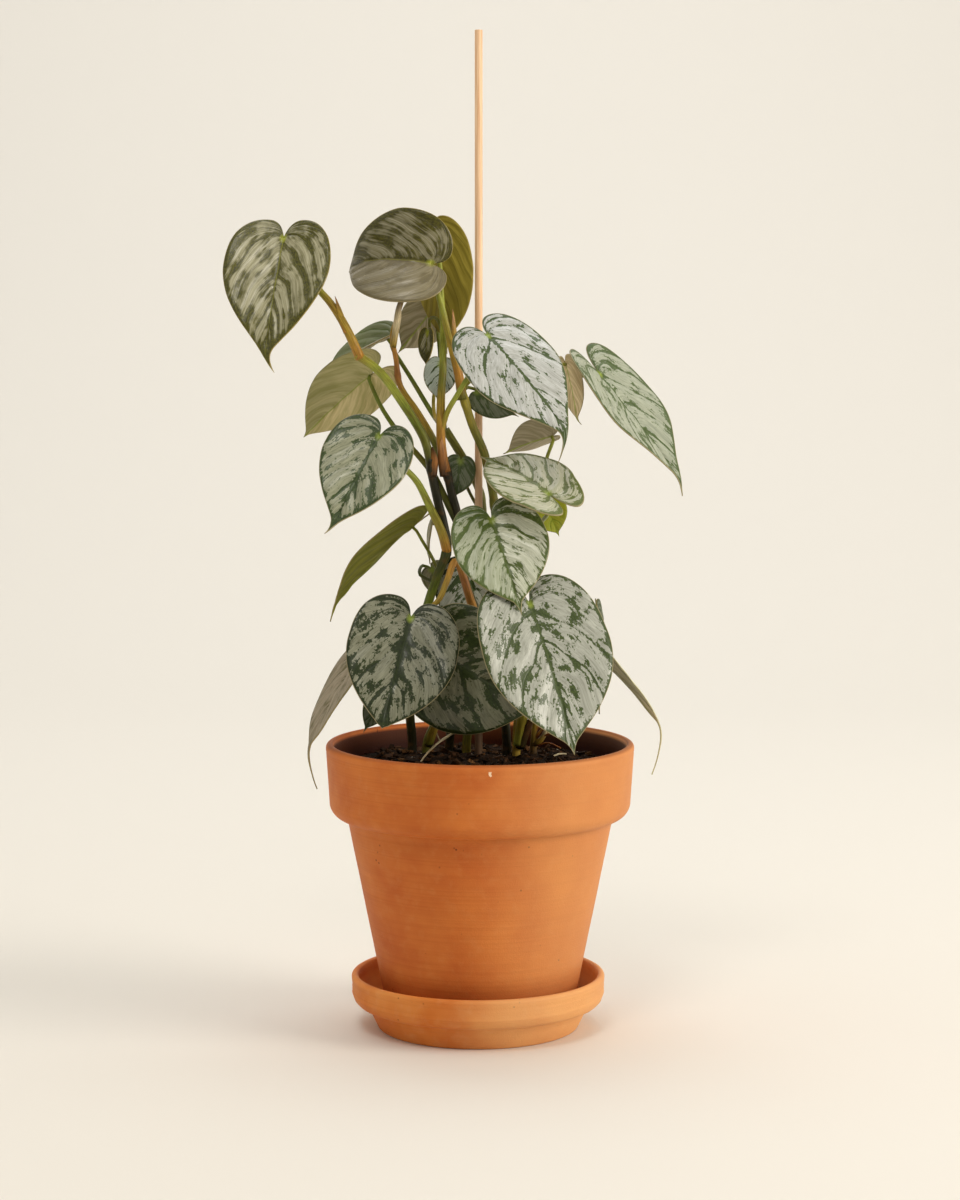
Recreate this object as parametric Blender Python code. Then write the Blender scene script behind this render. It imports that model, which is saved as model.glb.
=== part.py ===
# A heart-leaf philodendron with silver-marked leaves, in a terracotta pot on a saucer.
# Metres, +Z up. The origin is on the pot's axis, level with the saucer's underside, and the front
# faces -Y. The tables give millimetres and degrees.

import math

import bmesh
import bpy
from mathutils import Matrix, Vector, noise

MM = 0.001
GAP = 0.3                       # clearance between pieces that touch
STEPS = 44                      # flats round the pot, saucer and soil
MERGE = 0.02 * MM

# Saucer
SAUCER_SHIFT = -1.0             # the pot stands a little off the saucer's centre
SAUCER_FLOOR = 7.0

# Pot
POT_FOOT_Z = SAUCER_FLOOR + GAP
POT_FOOT_R = 48.6
POT_NECK_R = 69.2
POT_NECK_Z = 111.5
POT_RIM_R = 80.0
POT_RIM_Z = 149.7
POT_FLOOR_Z = 15.0
DRAIN_R = 7.0
INNER_WALL = ((44.0, POT_FLOOR_Z), (65.0, 112.0), (73.5, 128.0), (75.3, 146.0))

# Soil
SOIL_EDGE_Z = 136.5
SOIL_CENTRE_Z = 141.0
SOIL_LUMP = 1.6
HOLE_BOTTOM_Z = 112.0
HOLE_TOP_Z = 160.0
HOLE_CLEARANCE = 0.6

# Stake
STAKE_R = 2.0
STAKE_X, STAKE_Y = -0.7, 12.0
STAKE_TOP_Z = 515.0

# Leaves
BLADE = 0.8                     # blade thickness
STATIONS = 12                   # divisions along each half's edge
SMALL_STATIONS = 8              # the same for a leaf under SMALL_LEAF long
SMALL_LEAF = 35.0
SPANS = 2                       # divisions from midrib to edge
SEAT_DROP = 3.4                 # a petiole is square to the blade from this far below it
SEAT_SLACK = 0.2                # room for the petiole's tilted end
VEIN_START = 0.30               # edge fraction served by veins from the heel

# One half of a heart leaf as Bezier curves: lengths along the midrib, widths as a share of full width
EDGE_ENDS = (0.17, 0.42, 0.88, 1.0)
EDGE_CURVES = (
    ((0.00, 0.00), (-0.04, 0.012), (-0.13, 0.03), (-0.15, 0.13)),
    ((-0.15, 0.13), (-0.17, 0.32), (-0.02, 0.50), (0.24, 0.50)),
    ((0.24, 0.50), (0.50, 0.50), (0.72, 0.13), (0.86, 0.05)),
    ((0.86, 0.05), (0.90, 0.022), (0.95, 0.008), (1.00, 0.00)),
)
SIDE = 2                        # the curve from the widest place to the drip tip
FULLER = (0.05, 0.03)           # how far a full leaf's side stands out there
DRIP_START = 0.86               # where along the midrib the drip tip begins
HOOK_START = 0.82               # where it begins to turn sideways


def leaf(name, heel, tip, turn=0, width=0.85, fold=8, bend=20, curl=0, lobe=1.0, full=1.0, wave=0.02,
         drip=1.0, hook=0.0, tint="leaf_silver"):
    """A leaf hangs from its heel to its tip; turn 0 faces the front, 180 shows the underside.

    The drip tip is drip times its usual length. Seen from the front with the tip down, a hook moves
    its end to the left, or to the right where it is negative.
    """
    return dict(name=name, heel=heel, tip=tip, turn=turn, width=width, fold=fold, bend=bend,
                curl=curl, lobe=lobe, full=full, wave=wave, drip=drip, hook=hook, tint=tint)


TINTS = {
    "leaf_silver": (0.36, 0.40, 0.34),
    "leaf_bronze": (0.15, 0.14, 0.05),
    "leaf_pale": (0.30, 0.27, 0.17),
    "leaf_dark": (0.06, 0.09, 0.04),
    "leaf_lime": (0.38, 0.40, 0.03),
}

LEAVES = (
    leaf("leaf_top_left", (-100, -2, 409), (-109, -30, 342),
         turn=14, width=0.78, bend=12, full=0.3, lobe=0.9, hook=-0.08, tint="leaf_bronze"),
    leaf("leaf_top", (-25, -10, 396), (-68, 27, 392),
         turn=24, width=0.84, fold=18, bend=88, full=0.0, tint="leaf_bronze"),
    leaf("leaf_top_back", (-24, 14, 411), (-17, 12, 350),
         turn=-150, width=0.60, fold=10, tint="leaf_bronze"),
    leaf("leaf_front_upper", (4, -28, 360), (48, -62, 305),
         turn=-28, width=0.62, fold=-5, bend=20, full=0.3, hook=0.16),
    leaf("leaf_young_inner", (-20, 10, 345), (-22, 9, 325), turn=0, width=0.85, lobe=1.2),
    leaf("leaf_rolled_inner", (-27, 14, 361), (-28, 15, 343),
         turn=20, width=0.5, fold=22, tint="leaf_bronze"),
    leaf("leaf_back_upper", (-23, 26, 375), (-43, 30, 350), turn=180, width=0.8, tint="leaf_pale"),
    leaf("leaf_back_left", (-48, 24, 358), (-84, 34, 334),
         turn=72, width=0.65, fold=24, tint="leaf_pale"),
    leaf("leaf_left_under", (-57, 14, 339), (-93, 38, 306),
         turn=160, width=0.64, fold=12, lobe=1.6, drip=0.5, tint="leaf_pale"),
    leaf("leaf_left_middle", (-51, -20, 309), (-76, -40, 260),
         turn=20, width=0.80, bend=12, full=0.4, hook=0.04),
    leaf("leaf_left_low", (-35, 8, 261), (-80, 6, 214),
         turn=110, width=0.52, fold=16, bend=16, lobe=1.3, hook=-0.05, tint="leaf_bronze"),
    leaf("leaf_slim_inner", (-25, 16, 262), (-26, 14, 241), turn=80, width=0.45, tint="leaf_pale"),
    leaf("leaf_small_inner", (-25, 15, 238), (-12, 15, 222), turn=0, width=0.8),
    leaf("leaf_front_left", (-35, -36, 218), (-49, -58, 165), turn=0, width=0.84, fold=6, drip=0.2),
    leaf("leaf_front_middle", (-24, -18, 199), (29, -30, 171), turn=8, width=0.98, lobe=0.9, drip=0.3),
    leaf("leaf_inner_middle", (-4, 5, 240), (-5, 4, 200), turn=0, width=0.95, fold=0, bend=0),
    leaf("leaf_front_right", (25, -42, 226), (47, -67, 153),
         turn=-22, width=0.80, fold=6, bend=18, drip=0.6),
    leaf("leaf_right_edge", (60, -14, 218), (61, -20, 167),
         turn=-80, width=0.45, bend=10, tint="leaf_dark"),
    leaf("leaf_right_low", (55, 10, 202), (104, 4, 144),
         turn=-105, width=0.32, bend=8, lobe=0.5, drip=1.9, hook=0.28, tint="leaf_pale"),
    leaf("leaf_left_drooping", (-61, -14, 197), (-94, -26, 135),
         turn=65, width=0.44, bend=14, lobe=0.5, drip=2.2, hook=-0.20, tint="leaf_pale"),
    leaf("leaf_low_tip", (-50, 14, 174), (-61, 8, 153), turn=0, width=0.6, tint="leaf_dark"),
    leaf("leaf_centre", (6, -28, 267), (21, -50, 221), turn=-12, width=0.92, bend=18, lobe=1.3),
    leaf("leaf_centre_right", (34, -36, 281), (0, -4, 298), turn=52, fold=5, lobe=2.2),
    leaf("leaf_under_upper", (37, 4, 308), (12, 2, 299), turn=145, fold=35, tint="leaf_pale"),
    leaf("leaf_right_inner", (44, 0, 345), (50, -6, 314),
         turn=-150, width=0.42, hook=-0.06, tint="leaf_pale"),
    leaf("leaf_right", (61, -2, 340), (106, -26, 282),
         turn=-55, width=0.60, fold=12, bend=2, lobe=1.5, full=0.2, hook=0.06),
    leaf("leaf_young", (33, 4, 275), (41, 4, 256), turn=0, width=0.95, tint="leaf_lime"),
    leaf("leaf_small_dark", (-10, 9, 295), (-13, 9, 275), turn=0, width=0.85, tint="leaf_dark"),
    leaf("leaf_shaded", (-2, 5, 331), (20, 2, 318), turn=15, width=0.7, lobe=0.5, tint="leaf_dark"),
)

THIN_R = 1.5                    # a strand that starts thinner than this has fewer sides
THICK_SIDES = 7
THIN_SIDES = 5
SPACING = 9.0                   # length of a strand's straight pieces

# Stems: each strand has its radius at the start and at the end, its points, and the leaf it carries
VINES = {
    "vine_left": (
        ((2.5, 2.3), (-36, 30, 118), (-36, 30, 135), (-36, 30, 147), (-37, 24, 166), (-34, 12, 194),
         (-27, 4, 221), (-22, 1, 236), (-17, 0, 250), (-19, 0, 264), (-22, 0, 276), (-25, -2, 291),
         (-25, -3, 297)),
        ((2.3, 2.2), (-25, -2, 293), (-29, -4, 308), (-40, -4, 326), (-51, -4, 341), (-63, -4, 350)),
        ((2.6, 1.0), (-61, -4, 348), (-69, -5, 365), (-76, -5, 376), (-82, -4, 383), (-91, 1, 396),
         "leaf_top_left"),
        ((2.6, 1.0), (-17, 0, 249), (-20, -4, 260), (-26, -6, 273), (-32, -8, 285), (-39, -10, 293),
         (-45, -12, 301), "leaf_left_middle"),
        ((1.0, 0.8), (-21, 2, 238), (-26, 9, 247), (-30, 6, 254), "leaf_left_low"),
        ((1.0, 0.8), (-19, 0, 268), (-23, 7, 268), "leaf_slim_inner"),
        ((1.0, 0.8), (-23, 2, 232), (-31, 8, 236), (-30, 17, 240), "leaf_small_inner"),
        ((1.2, 0.9), (-36, 20, 176), (-46, 8, 187), (-57, -2, 193), "leaf_left_drooping"),
        ((1.0, 0.8), (-37, 24, 166), (-43, 18, 172), "leaf_low_tip"),
    ),
    "vine_inner": (
        ((2.4, 2.2), (-16, 25, 118), (-16, 25, 135), (-16, 25, 147), (-13, 20, 161), (-5, 8, 181),
         (0, -4, 208), (-5, -2, 226), (-9, 0, 239), (-10, 2, 255), (-12, 3, 269), (-15, 3, 280),
         (-18, 2, 295)),
        ((2.6, 1.1), (-18, 1, 290), (-20, -1, 306), (-20, -2, 327), (-19, 0, 342), (-19, 3, 353),
         (-19, 6, 366), (-20, 7, 382), (-21, 8, 398), "leaf_top_back"),
        ((2.2, 0.9), (-18, 4, 292), (-24, 5, 306), (-32, 5, 320), (-41, 4, 334), (-43, 3, 347),
         (-45, 2, 360), (-42, 2, 370), (-39, 2, 380)),
        ((1.5, 1.0), (-20, -1, 309), (-17, -4, 320), (-12, -7, 329), (-6, -12, 339), (-1, -18, 348),
         "leaf_front_upper"),
        ((2.0, 0.9), (-12, 3, 264), (-18, 5, 276), (-24, 6, 288), (-31, 6, 297), (-39, 7, 306),
         (-46, 9, 315), (-52, 8, 325), "leaf_left_under"),
        ((2.6, 1.0), (0, -5, 207), (-5, -11, 225), (-12, -15, 245), (-17, -20, 235), (-22, -25, 225),
         "leaf_front_left"),
        ((1.0, 0.8), (-10, 2, 252), (-7, 7, 250), "leaf_inner_middle"),
        ((1.0, 0.8), (-20, -1, 317), (-23, 9, 317), (-24, 15, 328), "leaf_young_inner"),
        ((0.9, 0.8), (-19, 5, 360), (-22, 10, 368), (-26, 16, 368), "leaf_rolled_inner"),
    ),
    "vine_centre": (
        ((2.4, 2.2), (14, 15, 118), (14, 15, 135), (14, 15, 147), (13, 14, 164), (10, 10, 223),
         (9, 9, 254), (7, 8, 276), (4, 5, 291), (2, 4, 300), (-4, 3, 314), (-9, 2, 330)),
        ((2.6, 1.1), (-9, 2, 327), (-11, 1, 340), (-14, 0, 352), (-17, -1, 364), (-20, -1, 376),
         (-23, -2, 387), "leaf_top"),
        ((1.3, 1.0), (9, 9, 250), (8, -8, 260), "leaf_centre"),
        ((1.3, 1.0), (10, 10, 231), (20, 4, 250), (29, -2, 261), (32, -14, 266), (34, -26, 270),
         "leaf_centre_right"),
        ((1.2, 0.9), (10, 9, 242), (17, 7, 249), (24, 8, 256), (30, 8, 269), (33, 6, 283), (34, 5, 295),
         "leaf_under_upper"),
        ((1.2, 0.9), (-10, 2, 332), (0, 4, 340), (16, 4, 343), (35, -6, 344), "leaf_right_inner"),
        ((1.2, 0.9), (16, 4, 343), (36, 11, 339), (52, 9, 339), "leaf_right"),
        ((0.9, 0.7), (24, 8, 256), (28, 10, 266), "leaf_young"),
        ((0.9, 0.8), (-8, 3, 332), (-6, 8, 333), "leaf_shaded"),
    ),
    "vine_front": (
        ((2.5, 1.2), (19, 10, 118), (19, 10, 135), (19, 10, 147), (20, 5, 166), (23, -7, 188),
         (24, -24, 211), "leaf_front_right"),
        ((1.3, 1.0), (23, -6, 186), (36, -8, 206), (49, -10, 222), "leaf_right_edge"),
        ((1.3, 1.0), (20, 4, 168), (36, 2, 184), (50, 6, 194), "leaf_right_low"),
    ),
    "vine_low": (
        ((2.4, 1.2), (-28, 20, 118), (-28, 20, 135), (-28, 20, 147), (-22, 10, 162), (-18, 0, 179),
         (-19, -8, 192), "leaf_front_middle"),
    ),
    "vine_back": (
        ((2.4, 2.2), (-7, 18, 118), (-7, 18, 135), (-7, 18, 147), (-5, 18, 169), (-2, 18, 222),
         (0, 18, 253), (1, 18, 272), (-1, 18, 281), (-7, 18, 293), (-13, 18, 303), (-18, 18, 311)),
        ((1.4, 1.0), (-17, 18, 309), (-24, 18, 318), (-35, 20, 336), (-40, 20, 344), (-45, 20, 352),
         "leaf_back_left"),
        ((1.2, 0.9), (-18, 18, 308), (-20, 19, 330), (-21, 20, 352), "leaf_back_upper"),
        ((0.9, 0.8), (0, 18, 268), (-7, 14, 282), "leaf_small_dark"),
    ),
    "old_stub": (
        ((2.4, 1.5), (28, 14, 118), (28, 14, 135), (28, 14, 147), (29, 13, 160)),
        ((1.8, 1.0), (28, 14, 146), (32, 12, 149), (35, 11, 155)),
    ),
}

LEAF_BY_NAME = {entry["name"]: entry for entry in LEAVES}


def clear_scene():
    for item in list(bpy.data.objects):
        bpy.data.objects.remove(item, do_unlink=True)


def material(name, colour, roughness, metallic=0.0):
    made = bpy.data.materials.new(name)
    made.use_nodes = True
    shader = made.node_tree.nodes["Principled BSDF"]
    shader.inputs["Base Color"].default_value = (*colour, 1.0)
    shader.inputs["Roughness"].default_value = roughness
    shader.inputs["Metallic"].default_value = metallic
    return made


def add_object(name, bm, finish, smooth=True):
    """Turn a bmesh into a finished object with its normals out."""
    bmesh.ops.remove_doubles(bm, verts=bm.verts, dist=MERGE)
    bmesh.ops.recalc_face_normals(bm, faces=bm.faces)
    mesh = bpy.data.meshes.new(name)
    bm.to_mesh(mesh)
    bm.free()
    mesh.materials.append(finish)
    if smooth:
        mesh.shade_smooth()
        mesh.set_sharp_from_angle(angle=math.radians(40))
    made = bpy.data.objects.new(name, mesh)
    bpy.context.scene.collection.objects.link(made)
    return made


def arc(centre_r, centre_z, radius, start, end, count):
    """Points on an arc of a turned profile, as (radius, height)."""
    points = []
    for step in range(count + 1):
        angle = math.radians(start + (end - start) * step / count)
        points.append((centre_r + radius * math.cos(angle), centre_z + radius * math.sin(angle)))
    return points


def turned(profile, closed):
    """Spin a profile of (radius, height) in millimetres round the Z axis."""
    bm = bmesh.new()
    verts = [bm.verts.new((radius * MM, 0.0, height * MM)) for radius, height in profile]
    pairs = list(zip(verts, verts[1:]))
    if closed:
        pairs.append((verts[-1], verts[0]))
    edges = [bm.edges.new(pair) for pair in pairs]
    bmesh.ops.spin(bm, geom=verts + edges, cent=(0, 0, 0), axis=(0, 0, 1),
                   angle=math.tau, steps=STEPS, use_merge=True)
    bmesh.ops.remove_doubles(bm, verts=bm.verts, dist=MERGE)
    return bm


def build_pot(finish):
    profile = [(DRAIN_R, POT_FOOT_Z), (POT_FOOT_R - 1.5, POT_FOOT_Z), (POT_FOOT_R, POT_FOOT_Z + 1.5)]
    profile += [(POT_NECK_R, POT_NECK_Z)]
    profile += arc(POT_NECK_R + 1.0, POT_NECK_Z + 7.6, 8.0, -80, 0, 4)
    profile += [(POT_RIM_R, POT_RIM_Z - 3.4)]
    profile += arc(POT_RIM_R - 2.4, POT_RIM_Z - 2.4, 2.4, 20, 110, 3)
    profile += list(reversed(INNER_WALL))
    profile += [(DRAIN_R, POT_FLOOR_Z)]
    return add_object("pot", turned(profile, closed=True), finish)


def build_saucer(finish):
    profile = [(0, 0), (51.0, 0), (52.8, 0.8), (57.2, 10.5)]
    profile += [(60.0, 11.8), (63.8, 13.8), (65.6, 17.0), (66.0, 24.0)]
    profile += arc(64.4, 26.8, 1.9, 10, 150, 3)
    profile += [(61.4, 22.0), (56.0, 10.0), (53.5, SAUCER_FLOOR), (0, SAUCER_FLOOR)]
    made = add_object("saucer", turned(profile, closed=False), finish)
    made.location.x = SAUCER_SHIFT * MM
    return made


def inner_radius(height):
    """Radius of the pot's inside at a height."""
    for (low_r, low_z), (high_r, high_z) in zip(INNER_WALL, INNER_WALL[1:]):
        if height <= high_z:
            return low_r + (high_r - low_r) * (height - low_z) / (high_z - low_z)
    return INNER_WALL[-1][0]


def build_soil(finish, holes):
    bottom = POT_FLOOR_Z + GAP
    wall = [(inner_radius(height) - GAP, height) for height in (bottom, INNER_WALL[1][1], INNER_WALL[2][1])]
    edge_r = inner_radius(SOIL_EDGE_Z) - GAP
    profile = [(0, bottom)] + wall + [(edge_r, SOIL_EDGE_Z)]
    for share in (0.86, 0.68, 0.50, 0.32, 0.15, 0.0):
        height = SOIL_CENTRE_Z + (SOIL_EDGE_Z - SOIL_CENTRE_Z) * share ** 2
        profile.append((edge_r * share, height))
    bm = turned(profile, closed=False)
    for vert in bm.verts:
        reach = vert.co.xy.length / MM
        if vert.co.z > SOIL_EDGE_Z * MM - 1e-6 and reach < edge_r - 1.0:
            vert.co.z += SOIL_LUMP * MM * noise.noise(vert.co / (9.0 * MM))
    made = add_object("soil", bm, finish, smooth=False)
    cut_holes(made, holes)
    return made


def cut_holes(made, holes):
    """Plain upright holes for the stems and the stake."""
    bm = bmesh.new()
    for x, y, radius in holes:
        place = Matrix.Translation(Vector((x, y, (HOLE_BOTTOM_Z + HOLE_TOP_Z) / 2)) * MM)
        bmesh.ops.create_cone(bm, cap_ends=True, segments=8, radius1=radius * MM, radius2=radius * MM,
                              depth=(HOLE_TOP_Z - HOLE_BOTTOM_Z) * MM, matrix=place)
    mesh = bpy.data.meshes.new("hole_cutters")
    bm.to_mesh(mesh)
    bm.free()
    cutter = bpy.data.objects.new("hole_cutters", mesh)
    bpy.context.scene.collection.objects.link(cutter)
    cut = made.modifiers.new("holes", "BOOLEAN")
    cut.operation = "DIFFERENCE"
    cut.solver = "EXACT"
    cut.object = cutter
    apply_modifiers(made)
    bpy.data.objects.remove(cutter, do_unlink=True)


def apply_modifiers(made):
    """Replace an object's mesh by its evaluated one."""
    bpy.context.view_layer.update()
    graph = bpy.context.evaluated_depsgraph_get()
    mesh = bpy.data.meshes.new_from_object(made.evaluated_get(graph))
    made.modifiers.clear()
    made.data = mesh


def build_stake(finish):
    bm = bmesh.new()
    height = STAKE_TOP_Z - HOLE_BOTTOM_Z - GAP
    place = Matrix.Translation(Vector((STAKE_X, STAKE_Y, STAKE_TOP_Z - height / 2)) * MM)
    bmesh.ops.create_cone(bm, cap_ends=True, segments=12, radius1=STAKE_R * MM, radius2=STAKE_R * MM,
                          depth=height * MM, matrix=place)
    return add_object("stake", bm, finish)


def bezier(curve, share):
    a, b, c, d = (Vector(point) for point in curve)
    rest = 1.0 - share
    return a * rest ** 3 + b * 3 * rest ** 2 * share + c * 3 * rest * share ** 2 + d * share ** 3


def edge_point(share, full):
    """Point on the half edge: 0 at the notch, 1 at the tip."""
    start = 0.0
    for end, curve in zip(EDGE_ENDS, EDGE_CURVES):
        if share <= end:
            place = (share - start) / (end - start)
            point = bezier(curve, place)
            if curve is EDGE_CURVES[SIDE]:
                point += Vector(FULLER) * full * math.sin(math.pi * place)
            return point
        start = end
    return Vector((1.0, 0.0))


def midrib_start(share):
    """Where on the midrib the vein to an edge point begins."""
    if share <= VEIN_START:
        return 0.0
    return ((share - VEIN_START) / (1.0 - VEIN_START)) ** 1.1


def blade_flat(entry, share, span):
    """Flat blade point for an edge share and a span from the midrib (0) to the edge (1)."""
    root = Vector((midrib_start(share), 0.0))
    flat = root.lerp(edge_point(share, entry["full"]), span)
    if flat.x < 0:
        flat.x *= entry["lobe"]
    if flat.x > DRIP_START:
        flat.x = DRIP_START + (flat.x - DRIP_START) * entry["drip"]
    return flat


def leaf_end(entry):
    """Where the drip tip ends along the midrib."""
    return DRIP_START + (1.0 - DRIP_START) * entry["drip"]


def midrib_curve(entry, reach):
    """Midrib in side view: distance forward, height, slope, all for a leaf of length one."""
    bend = math.radians(entry["bend"])
    curl = math.radians(entry["curl"])
    if reach <= 0:
        return reach, 0.0, 0.0
    steps = 24
    forward = height = slope = 0.0
    for step in range(steps):
        place = reach * (step + 0.5) / steps
        slope = -bend * place - curl * max(0.0, (place - 0.7) / 0.3) ** 2
        forward += math.cos(slope) * reach / steps
        height += math.sin(slope) * reach / steps
    return forward, height, slope


def leaf_axes(entry):
    """Length, and unit vectors along the leaf, across it, out of its upper face and sideways."""
    heel = Vector(entry["heel"])
    tip = Vector(entry["tip"])
    along = (tip - heel).normalized()
    front = Vector((0, -1, 0))
    facing = (front - along * front.dot(along)).normalized()
    sideways = along.cross(facing)
    facing = Matrix.Rotation(math.radians(entry["turn"]), 3, along) @ facing
    return (tip - heel).length, along, along.cross(facing), facing, sideways


def blade_point(entry, share, span, side):
    """Point of the leaf's middle surface, in millimetres."""
    flat = blade_flat(entry, share, span)
    chord, along, across, facing, sideways = leaf_axes(entry)
    end = leaf_end(entry)
    tip_forward, tip_height, _ = midrib_curve(entry, end)
    length = chord / math.hypot(tip_forward, tip_height)
    tilt = math.atan2(tip_height, tip_forward)
    forward, height, slope = midrib_curve(entry, flat.x)
    reach = flat.y * entry["width"]
    rise = math.radians(entry["fold"])
    lateral = reach * math.cos(rise)
    lift = reach * math.sin(rise)
    lift += 2.0 * entry["wave"] * reach * span * math.sin(17.0 * share + 2.0 * side)
    forward -= lift * math.sin(slope)
    height += lift * math.cos(slope)
    level = forward * math.cos(tilt) + height * math.sin(tilt)
    raised = height * math.cos(tilt) - forward * math.sin(tilt)
    local = along * level + facing * raised + across * lateral * side
    hooked = max(0.0, (flat.x - HOOK_START) / (end - HOOK_START))
    local += sideways * entry["hook"] * hooked ** 2
    return Vector(entry["heel"]) + local * length


def build_leaf(entry, finish):
    bm = bmesh.new()
    rows = []
    length = (Vector(entry["tip"]) - Vector(entry["heel"])).length
    stations = SMALL_STATIONS if length < SMALL_LEAF else STATIONS
    for station in range(stations + 1):
        share = station / stations
        row = []
        for column in range(-SPANS, SPANS + 1):
            side = -1 if column < 0 else 1
            point = blade_point(entry, share, abs(column) / SPANS, side)
            row.append(bm.verts.new(point * MM))
        rows.append(row)
    for low, high in zip(rows, rows[1:]):
        for column in range(2 * SPANS):
            bm.faces.new((low[column], low[column + 1], high[column + 1], high[column]))
    bmesh.ops.remove_doubles(bm, verts=bm.verts, dist=MERGE)
    bmesh.ops.triangulate(bm, faces=bm.faces)
    made = add_object(entry["name"], bm, finish)
    skin = made.modifiers.new("blade", "SOLIDIFY")
    skin.thickness = BLADE * MM
    skin.offset = 0.0
    return made


def heel_seat(entry):
    """A point that squares a petiole to the blade, and where it ends just under the heel."""
    _, along, _, facing, _ = leaf_axes(entry)
    forward, height, _ = midrib_curve(entry, leaf_end(entry))
    tilt = math.atan2(height, forward)
    normal = along * math.sin(tilt) + facing * math.cos(tilt)
    heel = Vector(entry["heel"])
    return heel - normal * SEAT_DROP - along * 0.4, heel - normal * (BLADE / 2 + GAP + SEAT_SLACK)


def smooth_route(points):
    """Catmull-Rom curve through the points, with a point about every SPACING."""
    ends = [points[0] * 2 - points[1]] + points + [points[-1] * 2 - points[-2]]
    route = []
    for a, b, c, d in zip(ends, ends[1:], ends[2:], ends[3:]):
        count = max(1, round((c - b).length / SPACING))
        for step in range(count):
            t = step / count
            route.append(0.5 * ((2 * b) + (c - a) * t + (2 * a - 5 * b + 4 * c - d) * t ** 2
                                + (3 * b - a - 3 * c + d) * t ** 3))
    route.append(points[-1])
    return route


def tube(bm, route, start_r, end_r, sides):
    """A closed tapering tube along a route, in millimetres."""
    rings = []
    for index, point in enumerate(route):
        before = route[max(index - 1, 0)]
        after = route[min(index + 1, len(route) - 1)]
        facing = (after - before).to_track_quat("Z", "Y").to_matrix().to_4x4()
        radius = start_r + (end_r - start_r) * index / (len(route) - 1)
        place = Matrix.Translation(point * MM) @ facing
        ring = bmesh.ops.create_circle(bm, segments=sides, radius=radius * MM, matrix=place)["verts"]
        rings.append(ring)
    return rings


def strand_mesh(strand, sides):
    radii = strand[0]
    points = [Vector(point) for point in strand[1:] if not isinstance(point, str)]
    if isinstance(strand[-1], str):
        points += heel_seat(LEAF_BY_NAME[strand[-1]])
    bm = bmesh.new()
    rings = tube(bm, smooth_route(points), radii[0], radii[1], sides)
    for low, high in zip(rings, rings[1:]):
        offset = closest_turn(low, high)
        for index in range(sides):
            after = (index + 1) % sides
            bm.faces.new((low[index], low[after], high[(after + offset) % sides],
                          high[(index + offset) % sides]))
    bm.faces.new(rings[0])
    bm.faces.new(list(reversed(rings[-1])))
    bmesh.ops.recalc_face_normals(bm, faces=bm.faces)
    return bm


def closest_turn(low, high):
    """How far to turn the next ring so that the tube isn't twisted."""
    sides = len(low)
    lengths = [sum((low[i].co - high[(i + turn) % sides].co).length for i in range(sides))
               for turn in range(sides)]
    return lengths.index(min(lengths))


def build_vine(name, strands, finish):
    """Strands joined by one union into a single stem."""
    joined = bpy.data.collections.new(name + "_strands")
    bpy.context.scene.collection.children.link(joined)
    made = None
    for index, strand in enumerate(strands):
        sides = THICK_SIDES if strand[0][0] > THIN_R else THIN_SIDES
        bm = strand_mesh(strand, sides)
        piece = add_object(name if index == 0 else "%s_%d" % (name, index), bm, finish)
        if index == 0:
            made = piece
        else:
            bpy.context.scene.collection.objects.unlink(piece)
            joined.objects.link(piece)
    union = made.modifiers.new("union", "BOOLEAN")
    union.operation = "UNION"
    union.solver = "EXACT"
    union.operand_type = "COLLECTION"
    union.collection = joined
    apply_modifiers(made)
    for piece in list(joined.objects):
        bpy.data.objects.remove(piece, do_unlink=True)
    bpy.data.collections.remove(joined)
    return made


def stem_holes():
    holes = [(STAKE_X, STAKE_Y, STAKE_R + HOLE_CLEARANCE)]
    for strands in VINES.values():
        for strand in strands:
            x, y, z = strand[1]
            if z < SOIL_EDGE_Z:
                holes.append((x, y, strand[0][0] + HOLE_CLEARANCE))
    return holes


def main():
    clear_scene()
    terracotta = material("terracotta", (0.48, 0.15, 0.05), 0.85)
    saucer_clay = material("saucer_terracotta", (0.52, 0.18, 0.07), 0.85)
    peat = material("potting_soil", (0.02, 0.012, 0.008), 0.95)
    wood = material("stake_wood", (0.62, 0.38, 0.22), 0.6)
    green = material("stem_green", (0.22, 0.20, 0.03), 0.45)
    tints = {name: material(name, colour, 0.4) for name, colour in TINTS.items()}
    build_pot(terracotta)
    build_saucer(saucer_clay)
    build_soil(peat, stem_holes())
    build_stake(wood)
    for name, strands in VINES.items():
        build_vine(name, strands, green)
    for entry in LEAVES:
        build_leaf(entry, tints[entry["tint"]])


main()
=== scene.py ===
import math
import random

import bmesh
import bpy
from mathutils import Matrix, Vector, noise


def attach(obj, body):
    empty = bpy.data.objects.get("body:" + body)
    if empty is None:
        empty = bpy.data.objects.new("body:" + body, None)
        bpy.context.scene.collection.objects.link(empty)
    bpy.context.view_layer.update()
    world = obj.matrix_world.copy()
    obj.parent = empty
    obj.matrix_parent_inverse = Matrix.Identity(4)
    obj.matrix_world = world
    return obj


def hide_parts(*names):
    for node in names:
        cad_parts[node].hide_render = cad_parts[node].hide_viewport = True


# A philodendron brandtianum with silver-marked leaves, in a terracotta pot on a saucer.
# Shapes are given in millimetres and degrees, in the same frame as the CAD.

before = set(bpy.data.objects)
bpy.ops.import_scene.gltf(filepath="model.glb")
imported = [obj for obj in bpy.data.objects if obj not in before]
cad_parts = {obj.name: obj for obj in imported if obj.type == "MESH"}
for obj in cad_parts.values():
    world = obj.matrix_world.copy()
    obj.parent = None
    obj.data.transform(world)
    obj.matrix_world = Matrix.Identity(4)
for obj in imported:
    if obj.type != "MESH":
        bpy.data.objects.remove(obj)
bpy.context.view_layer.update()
mm = 0.001


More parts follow.
